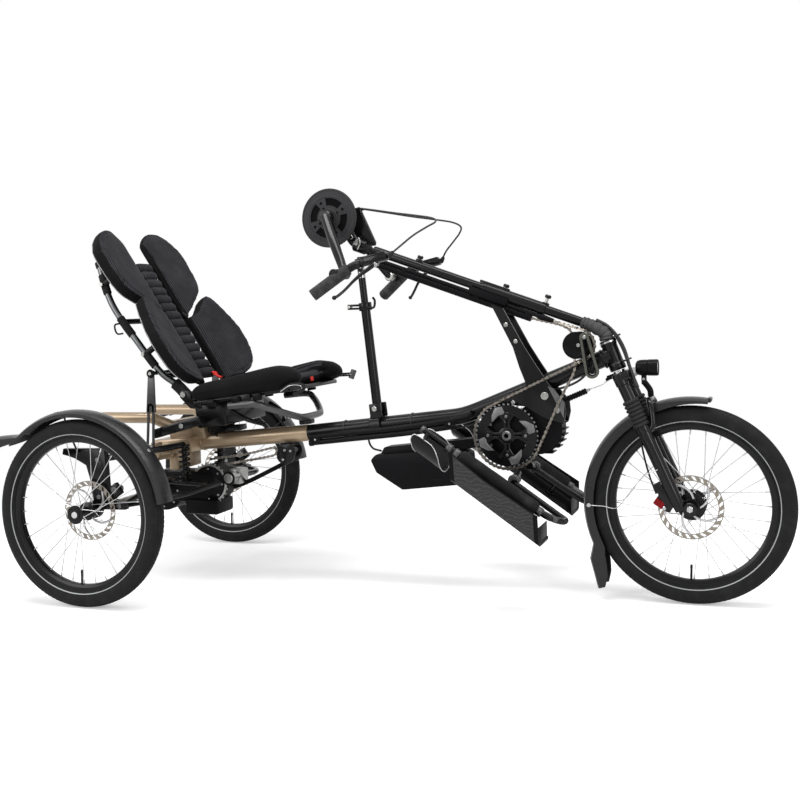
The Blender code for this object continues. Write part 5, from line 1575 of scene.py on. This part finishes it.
brick(shape, at(0.235, 0, 0.483), (0.098, 0.238, 0.068), radians(7), 0.006)
for y in (-0.07, 0.07):
    cap(shape, at(0.235, y, 0.5205), 0.008, -0.002, 0.0, (0, 0, 1), 20, 1)
for s in (-1, 1):
    pipe(shape, curved([at(0.3, s * 0.118, 0.496), at(0.345, s * 0.11, 0.47),
                        at(0.374, s * 0.06, 0.451)], 6), 0.0065, 20)
piece("seat_pan_and_loop", shape, [black_paint, zinc, satin_grey, gloss_plastic], "frame",
      "black_paint", ["seat_frame"])
shape = bmesh.new()
brick(shape, at(0.22, 0, 0.4315), (0.11, 0.04, 0.016), radians(5), 0.003)
brick(shape, at(0.174, 0, 0.443), (0.02, 0.036, 0.034), 0.0, 0.003)
for s in (-1, 1):
    brick(shape, at(0.15, s * 0.15, 0.452), (0.16, 0.03, 0.026), radians(15), 0.004)
    cap(shape, at(0.168, 0, 0.456), 0.0075, *span(s, 0.1655, 0.17), sides=6, part=1)
pipe(shape, [at(0.168, -0.165, 0.456), at(0.168, 0.165, 0.456)], 0.009, 28)
for s in (-1, 1):
    coil = [at(0.204 + 0.0105 * cos(k * 0.42), s * 0.052 + 0.0105 * sin(k * 0.42),
               0.414 + 0.044 * k / 100) for k in range(101)]
    pipe(shape, coil, 0.002, 8)
piece("seat_foot", shape, [black_paint, zinc], "frame", "black_paint", ["seat_mount"])

# -------------------- seat cushion
# Moulded foam with two raised side bolsters under a stretch cover of spacer mesh, seamed where the
# bolsters meet the middle, with a red pull tab at the front.

# Black knitted spacer fabric: fine upright ribs, tiny open cells, a soft grey bloom, and painted shade that darkens
# the ribs' grooves and lightens their crests.
mesh_fabric, shader, place = finish("spacer mesh fabric", (0.012, 0.012, 0.013), 0.86, shine=0.1,
                                    **{"Sheen Weight": 0.03})
ribs_and_rib_shade = place.node("TexWave", {"bands_direction": "Y"}, {"Vector": place, "Scale": 46.0}, output=1)
# Rib crests lighter and grooves darker: painted shade; the patches add random tone.
rib_shade_and_tone = ribs_and_rib_shade * 0.7 + place.noise(16.0, 4.0).step(0.3, 0.8) * 0.3
feed(shader, "Base Color", rib_shade_and_tone.blend((0.001, 0.001, 0.0014), (0.048, 0.048, 0.054)))
feed(shader, "Roughness", 0.8 + ribs_and_rib_shade * 0.1)
relief(shader, ribs_and_rib_shade + place.cells(760.0, 0.3) * 0.5, 0.00035)
# Warp-knit side panels: smoother and a little glossier than the mesh.
cover_fabric, shader, place = finish("smooth cover fabric", (0.01, 0.01, 0.01), 0.74, shine=0.08,
                                     **{"Sheen Weight": 0.01})
fading = place.noise(12.0, 5.0)
feed(shader, "Base Color", fading.blend((0.002, 0.002, 0.0022), (0.0075, 0.0075, 0.008)))
relief(shader, place.cells(1100.0, 0.2), 0.0002)
red_webbing = rubber_finish("red webbing", (0.62, 0.035, 0.028))
black_webbing = rubber_finish("black webbing", (0.012, 0.012, 0.012))


def stuffed(name, shape, voxel, swell, most, finishes, body, stands_for, fill):
    """A closed start shape, remeshed and blown up like foam in a tight cover, never past most."""
    made = solid(name, shape)
    grid = made.modifiers.new("even", "REMESH")
    grid.mode = "VOXEL"
    grid.voxel_size = voxel

    def settle():
        bpy.context.view_layer.update()
        graph = bpy.context.evaluated_depsgraph_get()
        fresh = bpy.data.meshes.new_from_object(made.evaluated_get(graph))
        made.modifiers.clear()
        made.data = fresh

    settle()
    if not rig.quick():
        before = np.array([v.co for v in made.data.vertices])
        cloth = made.modifiers.new("stuffing", "CLOTH")
        cloth.settings.quality = 4
        cloth.settings.use_pressure = True
        cloth.settings.uniform_pressure_force = swell
        cloth.settings.effector_weights.gravity = 0
        cloth.point_cache.frame_end = 20
        for number in range(1, 21):
            bpy.context.scene.frame_set(number)
        settle()
        after = np.array([v.co for v in made.data.vertices])
        move = after - before
        far = np.linalg.norm(move, axis=1, keepdims=True)
        move *= np.minimum(1.0, most / np.maximum(far, 1e-9))
        made.data.vertices.foreach_set("co", (before + move).ravel())
        bpy.context.scene.frame_set(1)
    smooth = made.modifiers.new("smooth", "SMOOTH")
    smooth.iterations = 14
    finer = made.modifiers.new("finer", "SUBSURF")
    finer.levels = 1
    finer.render_levels = 1
    settle()
    made.data.materials.clear()
    for each in finishes:
        made.data.materials.append(each)
    made.data.shade_smooth()
    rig.ride(made, body)
    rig.slot(made, "fabric")
    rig.replaces(made, *stands_for)
    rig.padded(made, fill)
    return made


def creased(made, line, width, depth):
    """Draws the cover in along a seam, by moving near points inward along their normals."""
    points = np.array([v.co for v in made.data.vertices])
    normals = np.array([v.normal for v in made.data.vertices])
    near = np.full(len(points), 9.0)
    for a, b in zip(line, line[1:]):
        a, b = np.array(a), np.array(b)
        share = np.clip((points - a) @ (b - a) / max(1e-12, (b - a) @ (b - a)), 0, 1)
        near = np.minimum(near, np.linalg.norm(points - a - share[:, None] * (b - a), axis=1))
    pull = np.exp(-(near / width) ** 2) * depth
    made.data.vertices.foreach_set("co", (points - normals * pull[:, None]).ravel())
    made.data.update()


shape = bmesh.new()
# How far forward each section of a bolster stands, its two sides, and its foot and top.
BOLSTER = [(0.0, 0.126, 0.18, 0.008, 0.03), (0.01, 0.117, 0.188, 0.001, 0.042),
           (0.1, 0.111, 0.19, 0.0, 0.046), (0.2, 0.106, 0.189, 0.0, 0.055),
           (0.262, 0.103, 0.186, 0.0, 0.06), (0.3, 0.106, 0.178, 0.002, 0.054),
           (0.32, 0.116, 0.168, 0.006, 0.04), (0.327, 0.13, 0.156, 0.012, 0.028)]
for s in (-1, 1):
    rings = []
    for along, inner, outer, low, high in BOLSTER:
        ring = []
        for turn in full_turn(20):
            c, q = cos(turn), sin(turn)
            wide = (inner + outer) / 2 + (outer - inner) / 2 * copysign(abs(c) ** 0.7, c)
            tall = (low + high) / 2 + (high - low) / 2 * copysign(abs(q) ** 0.7, q)
            ring.append(seat_place(along, s * wide, tall))
        rings.append(ring)
    skin(shape, rings)
middle = [(0.014, -0.136), (0.276, -0.136), (0.276, 0.136), (0.014, 0.136)]
softened(shape, skin(shape, [[seat_place(a, b, h) for a, b in middle] for h in (0.004, 0.026)]), 0.008)
cushion = stuffed("seat_cushion_cover", shape, 0.0055, 2.5, 0.005, [cover_fabric, mesh_fabric],
                  "frame", ["seat_cushion"], 0.8)
for s in (-1, 1):
    inner = [(0.012, 0.116, 0.03), (0.15, 0.11, 0.03), (0.29, 0.106, 0.03)]
    outer = [(0.004, 0.186, 0.016), (0.15, 0.189, 0.016), (0.3, 0.18, 0.018)]
    for seam, width, depth in ((inner, 0.006, 0.004), (outer, 0.004, 0.0025)):
        creased(cushion, [seat_place(a, s * b, h) for a, b, h in seam], width, depth)
flat = seat_place(1, 0, 0) - seat_rear
up_seat = seat_place(0, 0, 1) - seat_rear
for face in cushion.data.polygons:
    middle = Vector(face.center) - seat_rear
    inside = abs(middle.y) < 0.116 and 0.01 < middle.dot(flat) < 0.28
    face.material_index = 1 if inside and face.normal.dot(up_seat) > 0.3 else 0
shape = bmesh.new()
brick(shape, seat_place(0.2835, 0.02, 0.012), (0.003, 0.017, 0.013), SEAT_TILT, 0.0012, 1)
for s in (-1, 1):
    band = curved([seat_place(0.28, s * 0.172, -0.008), seat_place(0.312, s * 0.177, 0.004),
                   seat_place(0.34, s * 0.172, 0.0), seat_place(0.338, s * 0.166, -0.013),
                   seat_place(0.312, s * 0.164, -0.02)], 6)
    if s > 0:
        band = [seat_place(0.305, 0.172, 0.01), seat_place(0.345, 0.172, 0.006)]
        cap(shape, band[-1], 0.0085, -0.014, 0.014, (0.3, 0.2, 0.9), 20, 3)
    for wide in (-0.005, 0.0, 0.005):
        pipe(shape, [p + left(wide) for p in band], 0.0034, 8, 0, 1.6)
    for wide in (-0.008, 0.008):
        pipe(shape, [p + left(wide) for p in band], 0.001, 8, 2)
piece("seat_straps", shape, [black_webbing, red_webbing, steel, satin_grey], "frame", "fabric")

# -------------------- backrest frame
# Two bright bent tubes with black foam sleeves, three cross bars on short studs, a spine plate, and
# the pivot rod; small wire hooks take a flag or a bag.

back_foot = at(0.171, 0, 0.59)
BACK_LEAN = radians(32.5)


def back_place(up, across, forward):
    """A place on the backrest: up from its foot, to the left, and square to it."""
    c, s = cos(BACK_LEAN), sin(BACK_LEAN)
    return back_foot + Vector((-up * s + forward * c, across, up * c + forward * s))


def stretch(line, low, high):
    """The part of a path between two shares of its length."""
    total = sum((b - a).length for a, b in zip(line, line[1:]))
    cut, done = [], 0.0
    for a, b in zip(line, line[1:]):
        step = (b - a).length
        for end in (low * total, high * total):
            if done <= end < done + step:
                cut.append(a.lerp(b, (end - done) / step))
        done += step
        if low * total < done < high * total:
            cut.append(b)
    return cut


recline_axle = pivots["backrest_recline"]
shape = bmesh.new()
plate_rings = [[back_place(a, b, h) for a, b in ((0.01, -0.048), (0.41, -0.048), (0.41, 0.048),
                                                 (0.01, 0.048))] for h in (-0.034, -0.0205)]
softened(shape, skin(shape, plate_rings), 0.003)
side_line = [(0.427, 0.15, -0.044), (0.297, 0.16, -0.07), (0.152, 0.16, -0.06),
             (0.052, 0.158, -0.048), (-0.004, 0.15, -0.029), (-0.06, 0.148, -0.016)]
for s in (-1, 1):
    line = curved([back_place(u, s * y, f) for u, y, f in side_line], 10)
    pipe(shape, line, 0.0093, 32, 1)
    for low, high in ((0.0, 0.035), (0.08, 0.2), (0.36, 0.49), (0.62, 0.72), (0.87, 0.999)):
        part = stretch(line, low, high)
        first, last = part[0], part[-1]
        run = [first, first.lerp(part[1], 0.15), *part[1:-1], last.lerp(part[-2], 0.15), last]
        thick = 0.0165 if low > 0.8 else 0.0118
        pipe(shape, run, [0.01] + [thick] * (len(run) - 2) + [0.01], 32, 2)
    for up, front in ((0.12, -0.003), (0.36, -0.0185)):
        pipe(shape, [back_place(up, s * 0.16, -0.06), back_place(up, s * 0.16, front)], 0.009, 24)
        cap(shape, back_place(up, s * 0.16, -0.06), 0.0062, *span(s, 0.01, 0.0155), sides=6,
            part=3)
    hook = [back_place(u, s * y, f) for u, y, f in ((0.235, 0.166, -0.074), (0.238, 0.176, -0.088),
                                                    (0.214, 0.178, -0.094), (0.206, 0.168, -0.082))]
    pipe(shape, curved(hook, 5), 0.0026, 10)
for up, across, forward in ((0.035, 0.156, -0.043), (0.235, 0.16, -0.066), (0.405, 0.152, -0.048)):
    pipe(shape, [back_place(up, -across, forward), back_place(up, across, forward)], 0.008, 28)
    pipe(shape, [back_place(up, 0, forward), back_place(up, 0, -0.028)], 0.01, 28)
pipe(shape, [back_place(0.43, -0.02, -0.04), back_place(0.43, 0.02, -0.04)], 0.0016, 8, 1)
pipe(shape, [recline_axle - left(0.172), recline_axle + left(0.172)], 0.006, 24, 3)
for s in (-1, 1):
    cap(shape, recline_axle, 0.009, *span(s, 0.169, 0.1735), sides=6, part=3)
tube_silver = bright("satin silver tube", (0.17, 0.175, 0.18), 0.3, 40.0)
piece("backrest_tubes", shape, [black_paint, tube_silver, foam, zinc], "backrest", "black_paint",
      ["back_frame"])

# -------------------- backrest pads
# Four wings of moulded foam in spacer mesh with smooth side bands, piped along the back edge, and a
# quilted strip between them whose ribs are sewn across a firm backing.

WINGS = {
    "upper": (0.0, [(0.47, 0.05), (0.497, 0.085), (0.5, 0.12), (0.48, 0.17), (0.44, 0.205),
                    (0.4, 0.214), (0.325, 0.206), (0.29, 0.188), (0.268, 0.16), (0.244, 0.122),
                    (0.219, 0.084), (0.212, 0.052)]),
    "lower": (0.17, [(0.199, 0.055), (0.206, 0.088), (0.232, 0.129), (0.252, 0.162), (0.244, 0.186),
                     (0.205, 0.208), (0.15, 0.23), (0.09, 0.236), (0.03, 0.222), (-0.005, 0.19),
                     (-0.022, 0.14), (-0.022, 0.09), (-0.01, 0.055)]),
}
back_out = back_place(0, 0, 1) - back_foot
piping = rubber_finish("pale piping", (0.34, 0.34, 0.34))
for side, s in SIDES:
    for level, (slope, outline) in WINGS.items():
        mid_up = sum(a for a, b in outline) / len(outline)
        mid_across = sum(b for a, b in outline) / len(outline)

        def edge(inset, forward):
            """The pad's outline drawn in by inset, at a height square to the backrest."""
            loop = []
            for a, b in outline:
                away = Vector((a - mid_up, b - mid_across))
                away *= 1 - inset / away.length
                sunk = 0.021 * max(0.0, 1 - (b - 0.05) / 0.075) * (forward > 0.01)
                loop.append(back_place(mid_up + away.x, s * (mid_across + away.y),
                                       forward - sunk + (b - 0.055) * slope))
            return curved([*loop, loop[0]], 3)[:-1]

        shape = bmesh.new()
        rings = [edge(0.0, -0.0172), edge(-0.003, 0.002), edge(-0.002, 0.0222)]
        softened(shape, skin(shape, rings), 0.007)
        name = f"{side}_{level}_back_wing"
        pad = stuffed(name, shape, 0.005, 1.4, 0.004, [cover_fabric, mesh_fabric], "backrest",
                      [f"{side}_{level}_back_pad"], 0.9)
        front_seam = edge(0.01, 0.02)
        front_seam.append(front_seam[0])
        creased(pad, front_seam, 0.0042, 0.0028)
        for face in pad.data.polygons:
            face.material_index = 1 if Vector(face.normal).dot(back_out) > 0.72 else 0
        shape = bmesh.new()
        tree = BVHTree.FromPolygons([v.co for v in pad.data.vertices],
                                    [tuple(face.vertices) for face in pad.data.polygons])
        back_edge = curved(edge(0.001, -0.015)[6:28 if level == "upper" else 31], 2)
        pipe(shape, [tree.find_nearest(point)[0] for point in back_edge], 0.0017, 8)
        piece(name + "_piping", shape, [piping], "backrest", "fabric")

QUILTS = 14
shape = bmesh.new()
rows = []
for k in range(QUILTS * 10 + 1):
    share = k / (QUILTS * 10)
    puff = abs(sin(pi * share * QUILTS)) ** 0.42
    front = -0.0085 + 0.0115 * puff
    wide = 0.04 + 0.0016 * puff
    ring = [(t * wide, front - 0.01 * abs(t) ** 5) for t in (-1 + j / 12 for j in range(25))]
    ring += [(wide * 0.97, -0.0195), (-wide * 0.97, -0.0195)]
    rows.append([back_place(0.4 * share, y, h) for y, h in ring])
skin(shape, rows)
spine = piece("spine_pad_quilted", shape, [mesh_fabric], "backrest", "fabric", ["spine_pad"], 75)
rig.padded(spine, 0.7)
shape = bmesh.new()
tab = [back_place(u, 0.012, f) for u, f in ((0.006, 0.004), (-0.004, 0.007), (-0.016, 0.012),
                                            (-0.024, 0.02))]
for y in (-0.004, 0.0, 0.004):
    pipe(shape, curved([p + left(y) for p in tab], 4), 0.0024, 8)
brick(shape, back_place(-0.002, 0.012, 0.0075), (0.012, 0.02, 0.005), -radians(57), 0.0015)
piece("red_buckle_tab", shape, [red_webbing], "backrest", "fabric")

# -------------------- recline bars
# Flat steel strips with a long slot on each side hang from a rod behind the seat; a knob clamps
# each strip at the angle wanted. Satin grey paint.

shape = bmesh.new()
for s in (-1, 1):
    low, high = span(s, 0.176, 0.181)
    top, foot = at(0.085, 0, 0.605), at(0.073, 0, 0.396)
    slotted_arm(shape, at(0.08, 0, 0.51), foot, 0.0105, 0.0125, low, high, 0.006, 0)
    slab(shape, [(0.076, 0.613), (0.094, 0.613), (0.095, 0.495), (0.065, 0.495)], low, high, 0.0006)
    cap(shape, top, 0.0125, *span(s, 0.18, 0.186), sides=10, part=1, soft=0.002)
    cap(shape, top, 0.0055, *span(s, 0.185, 0.1885), sides=6, part=2)
    cap(shape, foot, 0.01, *span(s, 0.1808, 0.185), sides=28, part=2)
pipe(shape, [at(0.085, -0.18, 0.605), at(0.085, 0.18, 0.605)], 0.0056, 24)
piece("recline_strips", shape, [satin_grey, gloss_plastic, zinc], "recline_bars", "black_paint",
      ["recline_bars"])

# -------------------- cables
# Sheathed cables, tied to the frame: a loom from the boom's elbow down the head tube, a shift cable
# and a brake pipe under the main tube, and the battery's lead in a loop.

LOOM = [(1.306, 0.006, 0.72), (1.334, 0.004, 0.704), (1.357, -0.004, 0.678), (1.374, -0.012, 0.648),
        (1.386, -0.02, 0.618), (1.397, -0.026, 0.586), (1.411, -0.032, 0.548)]
shape = bmesh.new()
for dy, dx, radius in ((0.0, 0.0, 0.0044), (0.008, -0.003, 0.0032), (-0.007, 0.005, 0.0032)):
    route = [at(x + dx * sin(k * 0.6), y + dy, z) for k, (x, y, z) in enumerate(LOOM)]
    pipe(shape, curved(route, 8), radius, 12)
for tie in (LOOM[2], LOOM[4]):
    cap(shape, at(*tie), 0.012, -0.0022, 0.0022, (0.4, 0, -1), 20, 0, 0.0006)
loom = solid("cable_loom", shape, [sheath])
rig.blend(loom, "frame", "fork", at(*LOOM[2]), at(*LOOM[5]))
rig.slot(loom, "rubber")
shape = bmesh.new()
shift = [(1.296, -0.01, 0.61), (1.27, -0.014, 0.572), (1.222, -0.012, 0.548), (1.15, -0.004, 0.535)]
lead = [(0.668, 0.01, 0.42), (0.66, 0.014, 0.398), (0.672, 0.012, 0.378), (0.7, 0.004, 0.372)]
brake = [(0.99, -0.018, 0.462), (0.96, -0.02, 0.446), (0.86, -0.018, 0.434), (0.62, -0.016, 0.408)]
for route, radius, sides in ((shift, 0.003, 12), (lead, 0.0028, 12), (brake, 0.0024, 10)):
    pipe(shape, curved([at(*p) for p in route], 8), radius, sides)
for x, z, axis in ((0.6, 0.434, along_beam), (0.8, 0.4555, along_beam),
                   (1.12, 0.5305, beam[-1] - beam[-2])):
    turning(shape, mirrored([(0.0226, -0.002), (0.0242, -0.0016)]), at(x, 0, z), axis, 40)
piece("frame_cables", shape, [sheath], "frame", "rubber")

# -------------------- studio
# A floor and surround that show white to the camera, a soft overhead panel and two side panels,
# and a camera at waist height off the trike's right-hand front.

scene = bpy.context.scene
camera = bpy.data.objects.new("camera", bpy.data.cameras.new("camera"))
scene.collection.objects.link(camera)
camera.data.lens = 48.6
camera.data.sensor_width = 36.0
camera.data.shift_y = -0.065
camera.data.clip_end = 50.0
camera.matrix_world = Matrix(((0.9376, 0.0174, 0.3472, 1.0291), (0.3462, 0.045, -0.9371, -2.7783),
                              (-0.0319, 0.9988, 0.0362, 0.7644), (0, 0, 0, 1)))
scene.camera = camera
scene.view_settings.view_transform = "Standard"
world = bpy.data.worlds.new("studio")
scene.world = world
world.use_nodes = True
around = world.node_tree.nodes["Background"]
path = world.node_tree.nodes.new("ShaderNodeLightPath")
seen = Field(path.outputs["Is Camera Ray"]) + Field(path.outputs["Is Glossy Ray"])
seen = (seen + Field(path.outputs["Is Transmission Ray"])).step(0.0, 1.0)
around.inputs["Color"].default_value = (1, 1, 1, 1)
glow = 0.5 + seen * 0.5
world.node_tree.links.new(glow.socket, around.inputs["Strength"])
floor = bpy.data.objects.new("floor", bpy.data.meshes.new("floor"))
scene.collection.objects.link(floor)
shape = bmesh.new()
bmesh.ops.create_grid(shape, x_segments=1, y_segments=1, size=40)
shape.to_mesh(floor.data)
shape.free()
floor.location = (0, 0, -0.0005)
floor_white, shader, place = finish("floor", (0.93, 0.93, 0.93), 0.9, shine=0.0)
links = floor_white.node_tree.links
path = place.node("LightPath")
far = place.node("VectorMath", {"operation": "LENGTH"}, {0: place}, output=1).step(1.2, 3.0)
white = place.node("Emission", None, {"Color": (1, 1, 1, 1), "Strength": 1.0})
lit = place.node("AddShader")
fill = place.node("Emission", None, {"Color": (1, 1, 1, 1), "Strength": 0.34})
links.new(shader.outputs[0], lit.socket.node.inputs[0])
links.new(fill.socket, lit.socket.node.inputs[1])
near = place.node("MixShader", None, {"Fac": path})
links.new(shader.outputs[0], near.socket.node.inputs[1])
links.new(lit.socket, near.socket.node.inputs[2])
whole = place.node("MixShader", None, {"Fac": path * far})
links.new(near.socket, whole.socket.node.inputs[1])
links.new(white.socket, whole.socket.node.inputs[2])
links.new(whole.socket, floor_white.node_tree.nodes["Material Output"].inputs["Surface"])
floor.data.materials.append(floor_white)
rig.stage(floor)
for name, place_at, size, tall, power in (("overhead", (0.3, -0.6, 3.4), 4.6, 0.7, 95),
                                          ("front left", (-2.6, -3.2, 2.0), 2.2, 2.2, 60),
                                          ("front right", (3.4, -2.4, 1.8), 0.9, 2.2, 40)):
    lamp = bpy.data.objects.new(name, bpy.data.lights.new(name, "AREA"))
    lamp.data.shape = "RECTANGLE"
    lamp.data.size = size
    lamp.data.size_y = tall
    lamp.data.energy = power
    lamp.location = place_at
    aim = Vector((0.2, 0, 0.45)) - Vector(place_at)
    lamp.rotation_euler = aim.to_track_quat("-Z", "Y").to_euler()
    scene.collection.objects.link(lamp)

size_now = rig.bounds()
with open("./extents.json", "w") as out:
    json.dump({"cad": [list(corner) for corner in cad_box],
               "visual": [list(corner) for corner in size_now]}, out)
